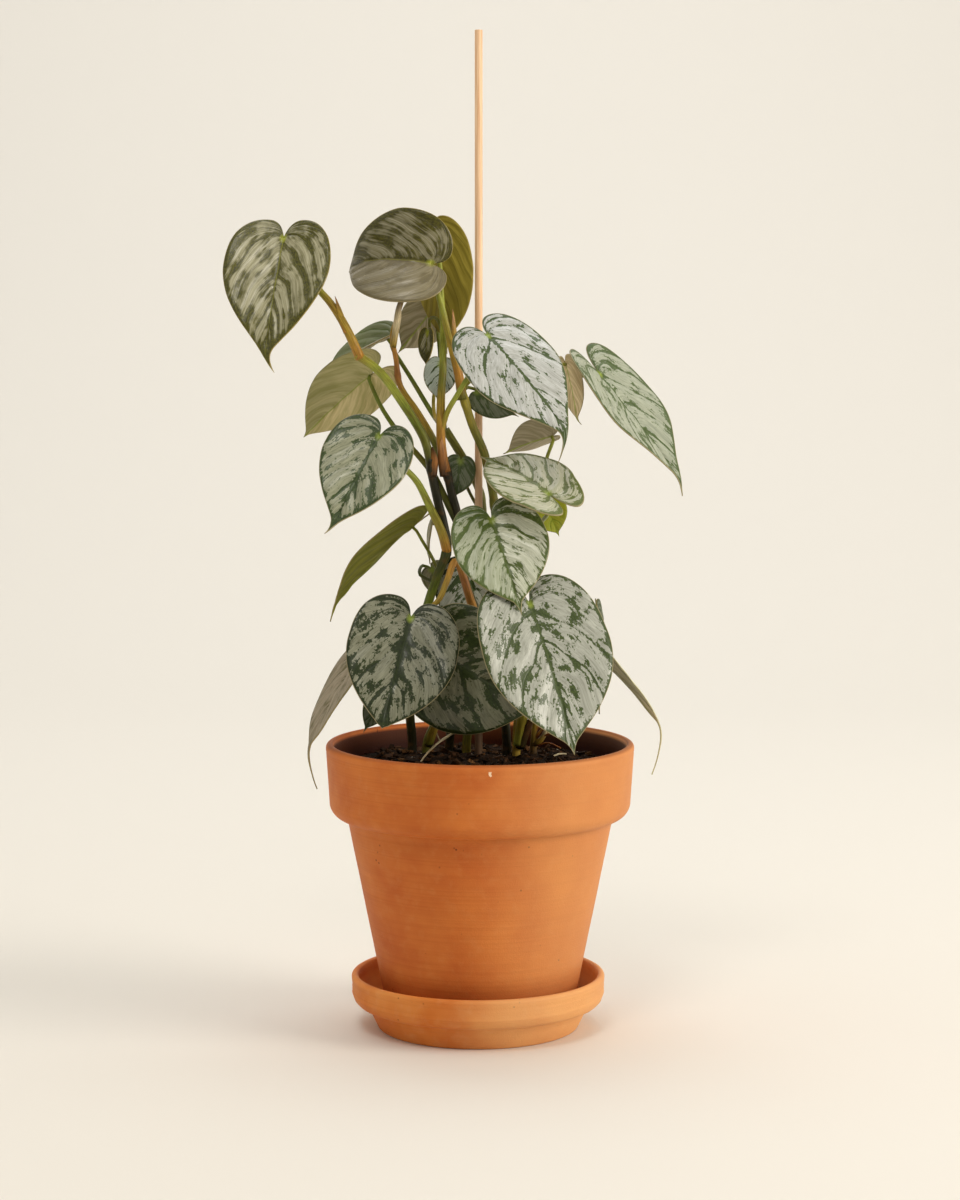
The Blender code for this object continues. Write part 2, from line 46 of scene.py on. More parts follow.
def linear(hexColour):
    channels = [int(hexColour[place:place + 2], 16) / 255 for place in (1, 3, 5)]
    return tuple(c / 12.92 if c <= 0.04045 else ((c + 0.055) / 1.055) ** 2.4 for c in channels) + (1.0,)


def addNode(tree, kind, inputs=None, **settings):
    # inputs go by name or number: in a MapRange 1 and 2 are the source's range, 3 and 4 the result's
    node = tree.nodes.new("ShaderNode" + kind)
    for setting, value in settings.items():
        setattr(node, setting, value)
    for socket, value in (inputs or {}).items():
        if isinstance(value, str):
            value = linear(value)
        if isinstance(value, bpy.types.Node):
            value = value.outputs[0]
        if isinstance(value, bpy.types.NodeSocket):
            tree.links.new(value, node.inputs[socket])
        else:
            node.inputs[socket].default_value = value
    return node


def newMaterial(name, **skinSettings):
    made = bpy.data.materials.new(name)
    made.use_nodes = True
    skin = made.node_tree.nodes["Principled BSDF"]
    for socket, value in skinSettings.items():
        value = linear(value) if isinstance(value, str) else value
        skin.inputs[socket.replace("_", " ")].default_value = value
    return made, made.node_tree


def laidOver(tree, colour, tint, source, ramp=(), **settings):
    # a tint over a colour; the ramp is the source's range, then the tint's share at its two ends;
    # 6 and 7 are a Mix node's two colours
    if ramp:
        source = addNode(tree, "MapRange", dict(enumerate((source, *ramp))), **settings)
    return addNode(tree, "Mix", {0: source, 6: colour, 7: tint}, data_type="RGBA").outputs[2]


def streaks(tree, way, stretch, shift=(0, 0, 0), **inputs):
    # noise drawn out along an axis: the smaller its number, the longer the streaks
    drawnOut = addNode(tree, "VectorMath", {0: way, 1: stretch, 2: shift}, operation="MULTIPLY_ADD")
    return addNode(tree, "TexNoise", {"Vector": drawnOut, "Scale": 1.0, "Detail": 3.0, **inputs})


def axisReach(tree, place):
    # how far a place lies from the upright axis
    flat = addNode(tree, "VectorMath", {0: place, 1: (1.0, 1.0, 0.0)}, operation="MULTIPLY")
    return addNode(tree, "VectorMath", {0: flat}, operation="LENGTH").outputs["Value"]


def finishMaterial(made, colour, relief, strength, depth, gloss=None):
    # the colour, a bump that is depth mm high and, where it varies, the roughness
    tree = made.node_tree
    skin = tree.nodes["Principled BSDF"]
    bump = addNode(tree, "Bump", {"Height": relief, "Strength": strength, "Distance": depth * mm})
    tree.links.new(colour, skin.inputs["Base Color"])
    tree.links.new(bump.outputs[0], skin.inputs["Normal"])
    if gloss:
        tree.links.new(gloss.outputs[0], skin.inputs["Roughness"])
    return made


def addObject(name, data):
    made = bpy.data.objects.new(name, data)
    bpy.context.scene.collection.objects.link(made)
    return made


def meshObject(name, bm, finishes):
    mesh = bpy.data.meshes.new(name)
    bm.to_mesh(mesh)
    bm.free()
    for finish in finishes:
        mesh.materials.append(finish)
    mesh.shade_smooth()
    return addObject(name, mesh)


def placePiece(name, bm, finishes, nodes):
    piece = meshObject(name, bm, finishes)
    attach(piece, "root")
    if nodes:
        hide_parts(*nodes)
    return piece


def smoothStep(low, high, value):
    share = min(1.0, max(0.0, (value - low) / (high - low)))
    return share * share * (3 - 2 * share)


def arc(centreR, centreZ, radius, start, end, count):
    angles = [math.radians(start + (end - start) * step / count) for step in range(count + 1)]
    return [(centreR + radius * math.cos(a), centreZ + radius * math.sin(a)) for a in angles]


# camera, lights and the studio floor, in metres

studio = {
    "cameraPlace": (0.0, -1.480, 0.374), "cameraTilt": 84.2, "lens": 86.4, "sensor": 36,
    "film": "Standard",                         # colours come out as they are set
    "skyColour": "#FFFAF0", "skyStrength": 0.77,
    "frontDim": 0.42, "dimWay": (-0.9, -0.1),   # the room is darker in front of the plant
    "lights": (                                 # name, place, size, watts, colour, aimed at
        ("keyLight", (1.92, -0.74, 0.86), 1.15, 28.8, "#FFF8EE", (0, 0, 0.25)),
        ("fillLight", (-0.35, -1.25, 1.9), 0.6, 9.6, "#FFFAF2", (0, 0, 0.25)),
        ("wallLight", (0.0, 0.9, 2.4), 2.0, 25.6, "#F7FAFF", (0, 2.6, 0.4)),
    ),
    "floorColour": "#E5E1D9", "floorFront": -6.0, "halfWidth": 5.0,
    "wallPlace": 2.6, "wallTop": 3.6, "bendRadius": 1.4, "bendSteps": 16,
}


def buildCamera():
    data = bpy.data.cameras.new("studioCamera")
    data.lens = studio["lens"]
    data.sensor_fit = "VERTICAL"
    data.sensor_height = studio["sensor"]
    data.clip_start = 0.05
    data.clip_end = 50
    camera = addObject("studioCamera", data)
    camera.location = studio["cameraPlace"]
    camera.rotation_euler = (math.radians(studio["cameraTilt"]), 0, 0)
    bpy.context.scene.camera = camera
    bpy.context.scene.view_settings.view_transform = studio["film"]


def addLight(name, place, size, power, colour, target):
    data = bpy.data.lights.new(name, "AREA")
    data.shape = "DISK"
    data.size = size
    data.energy = power
    data.color = linear(colour)[:3]
    light = addObject(name, data)
    light.location = place
    light.rotation_euler = (Vector(target) - Vector(place)).to_track_quat("-Z", "Y").to_euler()


def buildRoom():
    for light in studio["lights"]:
        addLight(*light)
    world = bpy.data.worlds.new("softRoom")
    world.use_nodes = True
    tree = world.node_tree
    sky = tree.nodes["Background"]
    sky.inputs["Color"].default_value = linear(studio["skyColour"])
    way = addNode(tree, "TexCoord").outputs["Generated"]
    depth = addNode(tree, "SeparateXYZ", {0: way}).outputs["Y"]
    (front, back), bright = studio["dimWay"], studio["skyStrength"]
    strength = addNode(tree, "MapRange", {0: depth, 1: front, 2: back,
                                          3: bright * studio["frontDim"], 4: bright})
    tree.links.new(strength.outputs[0], sky.inputs["Strength"])
    bpy.context.scene.world = world


def buildFloor():
    # the floor runs back and bends up into the wall, so no corner shows
    radius, wall, halfWidth = studio["bendRadius"], studio["wallPlace"], studio["halfWidth"]
    profile = [(studio["floorFront"], 0.0)] + arc(wall - radius, radius, radius, -90, 0, studio["bendSteps"])
    profile.append((wall, studio["wallTop"]))
    bm = bmesh.new()
    verts = [bm.verts.new((-halfWidth, y, z)) for y, z in profile]
    edges = [bm.edges.new(pair) for pair in zip(verts, verts[1:])]
    grown = bmesh.ops.extrude_edge_only(bm, edges=edges)["geom"]
    moved = [item for item in grown if isinstance(item, bmesh.types.BMVert)]
    bmesh.ops.translate(bm, verts=moved, vec=(2 * halfWidth, 0, 0))
    bmesh.ops.recalc_face_normals(bm, faces=bm.faces)
    if sum(face.normal.z for face in bm.faces) < 0:
        bmesh.ops.reverse_faces(bm, faces=bm.faces)
    # studio paper: quite matt and all one tone, so that only the shadow shows on it
    paper, _ = newMaterial("paperSweep", Base_Color=studio["floorColour"], Roughness=0.9,
                           Specular_IOR_Level=0.1)
    meshObject("studioFloor", bm, [paper])


buildCamera()
buildRoom()
buildFloor()
print("studio ready")


# pot and saucer, turned in red clay

pot = {
    "steps": 192, "longest": 5.0,             # steps round the pot, and the longest step up its wall
    "footR": 48.6, "footZ": 7.3, "footRound": 1.5, "neckR": 69.2, "neckZ": 111.5,
    "collarOut": 1.0, "collarUp": 7.6, "collarRound": 8.0, "rimR": 80.0, "rimZ": 149.7, "rimRound": 2.4,
    "floorZ": 15.0, "drainR": 7.0,
    "innerWall": ((44.0, 15.0), (65.0, 112.0), (73.5, 128.0), (75.3, 146.0)),
    "bandDrop": 4.2, "bandDepth": 0.10,       # a faint turned line under the rim
    "uneven": 0.16, "unevenScale": 32,        # a fired pot is never quite true
    "clayDark": "#BE632B", "clayLight": "#D07938", "clayDust": "#D6945A", "clayRed": "#A44A18",
    "claySpeck": "#4E2412",
    # the right side is painted paler: painted light from the key lamp
    "litSide": "#D8A066", "litShare": 0.48, "litWay": (-12.0, 50.0),
    # low down the pot is painted redder and darker: damp clay and painted shade from the saucer
    "lowShadeWay": (22.0, 38.0), "lipWay": (148.4, 149.3), "lip": "#8A4420",
    # the inner wall above the soil is painted dark: painted shade inside the pot, with damp clay
    "dampAndShade": "#381404", "dampShadeR": (75.6, 76.2), "dampShadeFrom": (122.0, 126.0), "dampShadeWay": (139.0, 149.5),
    "chip": "#F0D2B0", "chipPlace": (4.9, -79.8, 145.6), "chipSize": 1.3, "chipSquash": (1.8, 1.0, 0.9),
    "chipRagged": 1.2,
}

saucer = {
    "steps": 192, "longest": 4.0, "shift": -1.0,   # it stands a little off the pot's axis
    "footR": 51.0, "footRound": 1.8, "ridgeR": 65.9, "ridgeDepth": 0.32,
    "rimPlace": (64.2, 26.6), "rimRound": 1.9,
    "side": ((57.2, 10.5), (58.2, 12.2), (60.6, 12.4), (63.0, 13.3), (64.6, 15.0), (65.4, 17.2)),
    "ridges": ((18.6, 0.0), (19.4, 1.0), (20.2, 0.2), (21.2, 1.0), (22.0, 0.1), (23.2, 0.9), (24.2, 0.0)),
    "inside": ((61.4, 22.0), (56.0, 10.0), (54.6, 8.0), (53.5, 7.0), (0, 7.0)),
    "clayDark": "#CE722E", "clayLight": "#E2944C", "clayDust": "#E2AE7A", "clayRed": "#B0561F",
    "claySpeck": "#5A2A16",
    # the right side is painted paler: painted light from the key lamp
    "litSide": "#E0B27C", "litShare": 0.50, "litWay": (-28.0, 24.0),
}


def inMetres(values):
    return tuple(value * mm for value in values)


def finerProfile(profile, longest):
    # extra points on the long straight runs, so that hand unevenness can show
    points = [profile[0]]
    for (lowR, lowZ), (highR, highZ) in zip(profile, profile[1:]):
        count = max(1, math.ceil(math.hypot(highR - lowR, highZ - lowZ) / longest))
        for step in range(1, count + 1):
            share = step / count
            points.append((lowR + (highR - lowR) * share, lowZ + (highZ - lowZ) * share))
    return points


def turnedPiece(profile, closed, steps, shift=0.0):
    bm = bmesh.new()
    verts = [bm.verts.new((radius * mm, 0, height * mm)) for radius, height in profile]
    pairs = list(zip(verts, verts[1:])) + ([(verts[-1], verts[0])] if closed else [])
    edges = [bm.edges.new(pair) for pair in pairs]
    bmesh.ops.spin(bm, geom=verts + edges, cent=(0, 0, 0), axis=(0, 0, 1), angle=math.tau, steps=steps,
                   use_merge=True)
    bmesh.ops.remove_doubles(bm, verts=bm.verts, dist=0.01 * mm)
    bmesh.ops.recalc_face_normals(bm, faces=bm.faces)
    bmesh.ops.translate(bm, verts=bm.verts, vec=(shift * mm, 0, 0))
    return bm


def clayMaterial(name, look):
    # earthenware, jiggered and left unglazed: matt, dusty, with faint turning lines and dark grit
    made, tree = newMaterial(name, Roughness=0.55, Specular_IOR_Level=0.13)
    place = addNode(tree, "TexCoord").outputs["Object"]
    sideway, _, height = addNode(tree, "SeparateXYZ", {0: place}).outputs
    # 40 mm clouds, then 6 mm mottling of the dry surface
    clouds = addNode(tree, "TexNoise", {"Vector": place, "Scale": 26.0, "Detail": 3.0, "Roughness": 0.55})
    mottle = addNode(tree, "TexNoise", {"Vector": place, "Scale": 160.0, "Detail": 4.0, "Roughness": 0.6})
    colour = laidOver(tree, look["clayDark"], look["clayLight"], clouds, (0.36, 0.66))
    colour = laidOver(tree, colour, look["clayDust"], mottle, (0.50, 0.78, 0.0, 0.20))
    # turning lines: noise that changes every millimetre of height and slowly round the piece
    lines = streaks(tree, place, (6.0, 6.0, 900.0), Roughness=0.6)
    colour = laidOver(tree, colour, look["clayRed"], lines, (0.48, 0.72, 0.0, 0.20))
    # grit and pinholes about 0.5 mm across, few and scattered
    cells = addNode(tree, "TexVoronoi", {"Vector": place, "Scale": 210.0, "Randomness": 1.0})
    rare = addNode(tree, "TexNoise", {"Vector": place, "Scale": 90.0, "Detail": 1.0})
    near = addNode(tree, "MapRange", {0: cells, 1: 0.05, 2: 0.15, 3: 1.0, 4: 0.0})
    few = addNode(tree, "MapRange", {0: rare, 1: 0.60, 2: 0.68})
    grit = addNode(tree, "Math", {0: near, 1: few}, operation="MULTIPLY")
    colour = laidOver(tree, colour, look["claySpeck"], grit)
    # painted light: the right side, towards the key lamp, is painted paler than the left
    colour = laidOver(tree, colour, look["litSide"], sideway,
                      inMetres(look["litWay"]) + (0.0, look["litShare"]), interpolation_type="SMOOTHSTEP")
    if look is pot:
        colour = wornAndShadedPot(tree, place, height, colour)
    grain = addNode(tree, "TexNoise", {"Vector": place, "Scale": 1400.0, "Detail": 3.0})
    relief = addNode(tree, "Math", {0: lines, 1: 0.7, 2: grain}, operation="MULTIPLY_ADD")
    return finishMaterial(made, colour, relief, 0.35, 0.4)


def wornAndShadedPot(tree, place, height, colour):
    # redder and darker low down, partly damp clay and partly painted shade where the pot stands in the
    # saucer; and a darker worn lip
    colour = laidOver(tree, colour, pot["clayRed"], height, inMetres(pot["lowShadeWay"]) + (0.45, 0.0))
    colour = laidOver(tree, colour, pot["lip"], height, inMetres(pot["lipWay"]) + (0.0, 0.5))
    # painted shade inside the pot, on the inner wall above the soil, together with damp clay
    reach = axisReach(tree, place)
    wetAndShaded = 1.0
    for source, way, shares in ((reach, pot["dampShadeR"], (1.0, 0.0)), (height, pot["dampShadeFrom"], (0.0, 1.0)),
                                (height, pot["dampShadeWay"], (1.0, 0.85))):
        part = addNode(tree, "MapRange", dict(enumerate((source, *inMetres(way), *shares))))
        wetAndShaded = addNode(tree, "Math", {0: part, 1: wetAndShaded}, operation="MULTIPLY")
    colour = laidOver(tree, colour, pot["dampAndShade"], wetAndShaded)
    # a small pale chip with a ragged edge
    apart = addNode(tree, "VectorMath", {0: place, 1: inMetres(pot["chipPlace"])}, operation="SUBTRACT")
    squashed = addNode(tree, "VectorMath", {0: apart, 1: pot["chipSquash"]}, operation="MULTIPLY")
    far = addNode(tree, "VectorMath", {0: squashed}, operation="LENGTH").outputs["Value"]
    edge = addNode(tree, "TexNoise", {"Vector": place, "Scale": 900.0})
    ragged = addNode(tree, "MapRange", {0: edge, 3: -pot["chipRagged"] * mm, 4: pot["chipRagged"] * mm})
    size = addNode(tree, "Math", {0: far, 1: ragged}, operation="ADD")
    return laidOver(tree, colour, pot["chip"], size,
                    inMetres((0.9 * pot["chipSize"], 1.1 * pot["chipSize"])) + (1.0, 0.0))


def buildPot():
    rimR, rimZ, footR = pot["rimR"], pot["rimZ"], pot["footR"] - pot["footRound"]
    band = rimZ - pot["bandDrop"]
    profile = [(pot["drainR"], pot["footZ"]), (footR, pot["footZ"])]
    profile += arc(footR, pot["footZ"] + pot["footRound"], pot["footRound"], -80, 0, 5)
    profile += [(pot["neckR"], pot["neckZ"])]
    profile += arc(pot["neckR"] + pot["collarOut"], pot["neckZ"] + pot["collarUp"], pot["collarRound"],
                   -80, 0, 14)
    profile += [(rimR - 0.2, band - 1.2), (rimR - 0.14 - pot["bandDepth"], band), (rimR - 0.05, band + 0.6)]
    profile += arc(rimR - pot["rimRound"], rimZ - pot["rimRound"], pot["rimRound"], 5, 110, 8)
    profile += list(reversed(pot["innerWall"])) + [(pot["drainR"], pot["floorZ"])]
    bm = turnedPiece(finerProfile(profile, pot["longest"]), True, pot["steps"])
    for vert in bm.verts:
        outward = Vector((vert.co.x, vert.co.y, 0)).normalized()
        vert.co -= outward * pot["uneven"] * mm * abs(noise.noise(vert.co * pot["unevenScale"]))
    placePiece("clayPot", bm, [clayMaterial("earthenwarePot", pot)], ["pot"])


def buildSaucer():
    footR, footRound = saucer["footR"], saucer["footRound"]
    profile = [(0, 0), (footR, 0)] + arc(footR, footRound, footRound, -90, -20, 4) + list(saucer["side"])
    profile += [(saucer["ridgeR"] - saucer["ridgeDepth"] * deep, height) for height, deep in saucer["ridges"]]
    profile += arc(*saucer["rimPlace"], saucer["rimRound"], 0, 150, 9) + list(saucer["inside"])
    bm = turnedPiece(finerProfile(profile, saucer["longest"]), False, saucer["steps"], saucer["shift"])
    placePiece("claySaucer", bm, [clayMaterial("earthenwareSaucer", saucer)], ["saucer"])


buildPot()
buildSaucer()
print("pot and saucer turned")


stake = {
    "radius": 2.0, "place": (-0.7, 12.0), "top": 515.0, "bottom": 112.3, "sides": 40, "bevel": 0.25,
    "pale": "#F3D2AA", "deep": "#D7A57A", "line": "#A8703F", "lowerTone": "#4A2F18", "lowerToneWay": (170, 340),
}


def buildStake():
    # birch dowel, drawn through a die: satin, with fine long grain
    made, tree = newMaterial("birchDowel", Roughness=0.55)
    place = addNode(tree, "TexCoord").outputs["Object"]
    height = addNode(tree, "SeparateXYZ", {0: place}).outputs["Z"]
    # grain about 0.4 mm wide and 40 mm long, darker lines in it, and darker low down: most below 170 mm,
    # fading out by 340 mm
    grain = streaks(tree, place, (2400.0, 2400.0, 26.0), Detail=4.0)
    colour = laidOver(tree, stake["deep"], stake["pale"], grain, (0.35, 0.65))
    colour = laidOver(tree, colour, stake["line"], grain, (0.66, 0.74, 0.0, 0.6))
    colour = laidOver(tree, colour, stake["lowerTone"], height, inMetres(stake["lowerToneWay"]) + (0.85, 0.0))
    finishMaterial(made, colour, grain, 0.3, 0.2)
    bm = bmesh.new()
    middle = Vector((*stake["place"], (stake["top"] + stake["bottom"]) / 2)) * mm
    bmesh.ops.create_cone(bm, cap_ends=True, segments=stake["sides"], radius1=stake["radius"] * mm,
                          radius2=stake["radius"] * mm, depth=(stake["top"] - stake["bottom"]) * mm,
                          matrix=Matrix.Translation(middle))
    ends = [edge for edge in bm.edges if abs(edge.verts[0].co.z - edge.verts[1].co.z) < 0.001 * mm]
    bmesh.ops.bevel(bm, geom=ends, offset=stake["bevel"] * mm, offset_type="OFFSET", affect="EDGES",
                    segments=2, profile=0.5, material=-1)
    piece = placePiece("woodStake", bm, [made], ["stake"])
    piece.data.set_sharp_from_angle(angle=math.radians(50))


buildStake()
print("stake made")


leafShape = {
    "edgeEnds": (0.17, 0.42, 0.88, 1.0),
    "edgeCurves": (         # half of the outline: lobe, shoulder, side and drip tip
        ((0.00, 0.00), (-0.04, 0.012), (-0.13, 0.03), (-0.15, 0.13)),
        ((-0.15, 0.13), (-0.17, 0.32), (-0.02, 0.50), (0.24, 0.50)),
        ((0.24, 0.50), (0.50, 0.50), (0.72, 0.13), (0.86, 0.05)),
        ((0.86, 0.05), (0.90, 0.022), (0.95, 0.008), (1.00, 0.00)),
    ),
    "fuller": (0.05, 0.03),         # how far a full leaf's side swells out past that outline
    "veinStart": 0.30, "dripStart": 0.86, "hookStart": 0.82,
    "stations": 96, "spans": 14, "smallStations": 56, "smallSpans": 9, "smallLeaf": 35.0,
    "blade": 0.62,          # blade thickness
    "quilt": 0.65,          # how far the blade swells between its veins
    "quiltFrom": (15, 50),  # leaf lengths from which a blade starts to swell, and swells fully
    "groove": 0.50,         # how deep the midrib lies
    "grooveWide": 1.1,
    "wave": 0.04,           # how far the margin waves, and how many times on its way
    "waves": 17.0,
    "veins": 6.0,           # veins on each half
    "fineVeins": 5.0,       # fine veins to each vein
    "veinCrowd": 1.1,       # over 1, the veins stand closer together near the heel
    "sweepTurn": 1.4,       # how late along its way a vein bends on towards the tip
    "waver": 0.22,          # how far a vein strays from its even place, in vein gaps
    "waverScale": 5,
    "greenFrom": 0.22,      # where the sum of the patterns turns silver to green
}

# What each kind of leaf face looks like. Widths in mm say how far green runs from a rib, a vein or the
# margin; patch, streak and crumb say how strongly each pattern breaks the silver up.
faces = {
    "silver": dict(light="#C2C4B6", deep="#93978A", green="#2C3B1E", greenLight="#48592C", bias=0.0,
                   sweep=0.45, rib=2.4, ribGain=0.60, vein=1.8, veinGain=0.50, edge=2.6, edgeGain=0.50,
                   patch=1.5, streak=1.9, crumb=0.9, soft=0.07, streakWide=5.0, streakLong=0.16,
                   under="#A79C84", underDeep="#7E7A5C", heel="#8FA03A", margin="#A99C74", shine=0.30),
    "bronze": dict(light="#B9B596", deep="#7F7B58", green="#36340A", greenLight="#62601A", bias=0.10,
                   sweep=0.75, rib=2.4, ribGain=0.45, vein=2.6, veinGain=0.36, edge=5.5, edgeGain=0.80,
                   patch=2.1, streak=2.7, crumb=0.5, soft=0.30, streakWide=3.6, streakLong=0.06,
                   under="#7A7436", underDeep="#5C5A20", heel="#A9B02E", margin="#A08E4C", shine=0.25,
                   ribTone="#84841F"),
    "pale": dict(light="#BDB49C", deep="#9C957A", green="#55602C", greenLight="#7A7E48", bias=0.05,
                 sweep=0.60, rib=1.2, ribGain=0.45, vein=0.9, veinGain=0.30, edge=1.2, edgeGain=0.35,
                 patch=1.1, streak=1.2, crumb=0.3, soft=0.22, streakWide=4.0, streakLong=0.08,
                 under="#B7AB90", underDeep="#8E8668", heel="#8FA03A", margin="#A08F5C", shine=0.50),
    "dark": dict(light="#6E7460", deep="#565E44", green="#2F3C1C", greenLight="#46552A", bias=0.16,
                 sweep=0.50, rib=1.6, ribGain=0.60, vein=1.4, veinGain=0.45, edge=1.6, edgeGain=0.45,
                 patch=1.2, streak=1.4, crumb=0.4, soft=0.12, streakWide=4.0, streakLong=0.12,
                 under="#5F5C34", underDeep="#474420", heel="#6F8030", margin="#7A7040", shine=0.45),
    "lime": dict(light="#B9BC3A", deep="#A2A828", green="#7E8E1C", greenLight="#95A124", bias=0.10,
                 sweep=0.50, rib=0.6, ribGain=0.40, vein=0.7, veinGain=0.35, edge=0.6, edgeGain=0.3,
                 patch=0.7, streak=0.8, crumb=0.1, soft=0.3, streakWide=3.0, streakLong=0.08,
                 under="#A2A636", underDeep="#82881F", heel="#B9C040", margin="#8E8A34", shine=0.45),
}

# The usual form of a leaf: turn, fold and bend in degrees, width and hook in leaf lengths, and how
# much of the usual lobe, fullness and drip tip it has.
leafForm = {"turn": 0, "width": 0.85, "fold": 8, "bend": 20, "lobe": 1.0, "full": 1.0, "drip": 1.0,
            "hook": 0.0}


def leaf(heel, tip, face="silver", **changes):
    form = {key: changes.pop(key, usual) for key, usual in leafForm.items()}
    return dict(form, heel=Vector(heel), tip=Vector(tip), face=face, look={**faces[face], **changes})


leaves = {
    "leaf_top_left": leaf((-100, -2, 409), (-109, -30, 342), "bronze", turn=14, width=0.765, bend=12,
                          full=0.3, lobe=0.9, hook=-0.08),
    "leaf_top": leaf((-25, -10, 396), (-68, 27, 392), "bronze", turn=24, width=0.84, fold=18, bend=88,
                     full=0.0, light="#99947A", deep="#66613F", green="#333008", greenLight="#565214",
                     bias=0.08, rib=3.0, half=("#8C8066", -1, 0.50)),
    "leaf_top_back": leaf((-24, 14, 411), (-17, 12, 350), "bronze", turn=-150, width=0.60, fold=10,
                          under="#9F9038", underDeep="#7E7124"),
    "leaf_front_upper": leaf((4, -28, 360), (48, -62, 305), turn=-28, width=0.62, fold=-5, full=0.3,
                             hook=0.16, light="#C7C9C5", deep="#9D9E95", green="#3F4D2B", bias=-0.02,
                             vein=1.6, edge=3.2, edgeGain=0.62, shine=0.26),
    "leaf_young_inner": leaf((-20, 10, 345), (-22, 9, 325), lobe=1.2, light="#C2CCC2", deep="#98A498",
                             bias=-0.15, rib=1.0, vein=0.8, edge=1.2),
    "leaf_rolled_inner": leaf((-27, 14, 361), (-28, 15, 343), "bronze", turn=20, width=0.5, fold=22),
    "leaf_back_upper": leaf((-23, 26, 375), (-43, 30, 350), "pale", turn=180, width=0.8),
    "leaf_back_left": leaf((-48, 24, 358), (-84, 34, 334), "pale", turn=72, width=0.65, fold=24,
                           half=("#5C6E36", 1, 0.75)),
    "leaf_left_under": leaf((-57, 14, 339), (-93, 38, 306), "pale", turn=160, width=0.64, fold=12,
                            lobe=1.6, drip=0.5, under="#D8CA98", underDeep="#AAA268", backVein=0.15,
                            half=("#66703A", -1, 0.40)),
    "leaf_left_middle": leaf((-51, -20, 309), (-76, -40, 260), turn=20, width=0.80, bend=12, full=0.4,
                             hook=0.04, light="#A6A88E", deep="#7C7F66", bias=0.04, edge=3.2),
    "leaf_left_low": leaf((-35, 8, 261), (-80, 6, 214), "bronze", turn=110, width=0.52, fold=16, bend=16,
                          lobe=1.3, hook=-0.05, under="#92942E", underDeep="#6E740E",
                          half=("#A89C78", -1, 0.16)),
    "leaf_slim_inner": leaf((-25, 16, 262), (-26, 14, 241), "pale", turn=80, width=0.45, light="#DCD4B4",
                            deep="#B4AC86", under="#DCD4B4", underDeep="#B4AC86"),
    "leaf_small_inner": leaf((-25, 15, 238), (-12, 15, 222), width=0.8, light="#A49E82", deep="#86805E",
                             green="#5E6038", greenLight="#72744A", bias=-0.1),
    "leaf_front_left": leaf((-35, -36, 218), (-49, -58, 165), width=0.84, fold=6, drip=0.2,
                            light="#8D8E7A", deep="#666752", green="#172006", greenLight="#2B3712",
                            bias=0.12, rib=3.4, vein=1.5, edge=2.6, patch=1.9, crumb=1.3),
    "leaf_front_middle": leaf((-24, -18, 199), (29, -30, 171), turn=8, width=0.98, lobe=0.9, drip=0.3,
                              light="#86876E", deep="#5E6048", green="#212B0C", greenLight="#37461A",
                              bias=0.18, rib=3.0, patch=2.0, crumb=1.0),
    "leaf_inner_middle": leaf((-4, 5, 240), (-5, 4, 200), width=0.95, fold=0, bend=0),
    "leaf_front_right": leaf((25, -42, 226), (47, -67, 153), turn=-22, width=0.80, fold=6, bend=18,
                             drip=0.6, light="#B6B8AC", deep="#8E9084", green="#303D1C",
                             greenLight="#4C5A2E", bias=0.05, rib=3.2, vein=1.6, edge=3.2, patch=1.8,
                             streak=2.1, crumb=1.3),
    "leaf_right_edge": leaf((60, -14, 218), (61, -20, 167), "dark", turn=-80, width=0.45, bend=10),
    "leaf_right_low": leaf((55, 10, 202), (104, 4, 144), "pale", turn=-105, width=0.32, bend=8, lobe=0.5,
                           drip=1.9, hook=0.28, light="#D2D0B6", deep="#AAA88E", bias=-0.35, rib=0.5,
                           vein=0.4, edge=0.5, under="#E0DCBC", underDeep="#B4B08C", margin="#C4BC90"),
    "leaf_left_drooping": leaf((-61, -14, 197), (-94, -26, 135), "pale", turn=65, width=0.44, bend=14,
                               lobe=0.5, drip=2.2, hook=-0.20, light="#A69A84", deep="#80745C",
                               green="#5A5436", greenLight="#6E6846", under="#A08F74",
                               underDeep="#77694C"),
    "leaf_low_tip": leaf((-50, 14, 174), (-61, 8, 153), "dark", width=0.6),
    "leaf_centre": leaf((6, -28, 267), (21, -50, 221), turn=-12, width=0.92, bend=18, lobe=1.3,
                        light="#D0D3C0", deep="#A2A78E", green="#3E4D20", greenLight="#5C6A34",
                        half=("#4E6228", 1, 0.35), vein=2.2, veinGain=0.6, streak=2.2, patch=0.8,
                        crumb=0.5, soft=0.12),
    "leaf_centre_right": leaf((34, -36, 281), (0, -4, 298), turn=52, fold=5, lobe=2.2, light="#C6C5AE",
                              deep="#A2A587", green="#55602C", greenLight="#707B42", edge=3.4, crumb=0.6),
    "leaf_under_upper": leaf((37, 4, 308), (12, 2, 299), "pale", turn=145, fold=35),
    "leaf_right_inner": leaf((44, 0, 345), (50, -6, 314), "pale", turn=-150, width=0.42, hook=-0.06,
                             under="#E4D2AA", underDeep="#BAA77E"),
    "leaf_right": leaf((61, -2, 340), (106, -26, 282), turn=-55, width=0.60, fold=12, bend=2, lobe=1.5,
                       full=0.2, hook=0.06, light="#B0B49E", deep="#8C9280", green="#3F4E28",
                       greenLight="#5E6E42", bias=0.02, edge=3.4, edgeGain=0.62, rib=1.6),
    "leaf_young": leaf((33, 4, 275), (41, 4, 256), "lime", width=0.95, light="#B4B034"),
    "leaf_small_dark": leaf((-10, 9, 295), (-13, 9, 275), "dark"),
    "leaf_shaded": leaf((-2, 5, 331), (20, 2, 318), "dark", turn=15, width=0.7, lobe=0.5),
}


def bezierPoint(curve, share):
    rest = 1.0 - share
    weights = (rest ** 3, 3 * rest ** 2 * share, 3 * rest * share ** 2, share ** 3)
    return Vector(tuple(sum(w * p[axis] for w, p in zip(weights, curve)) for axis in (0, 1)))


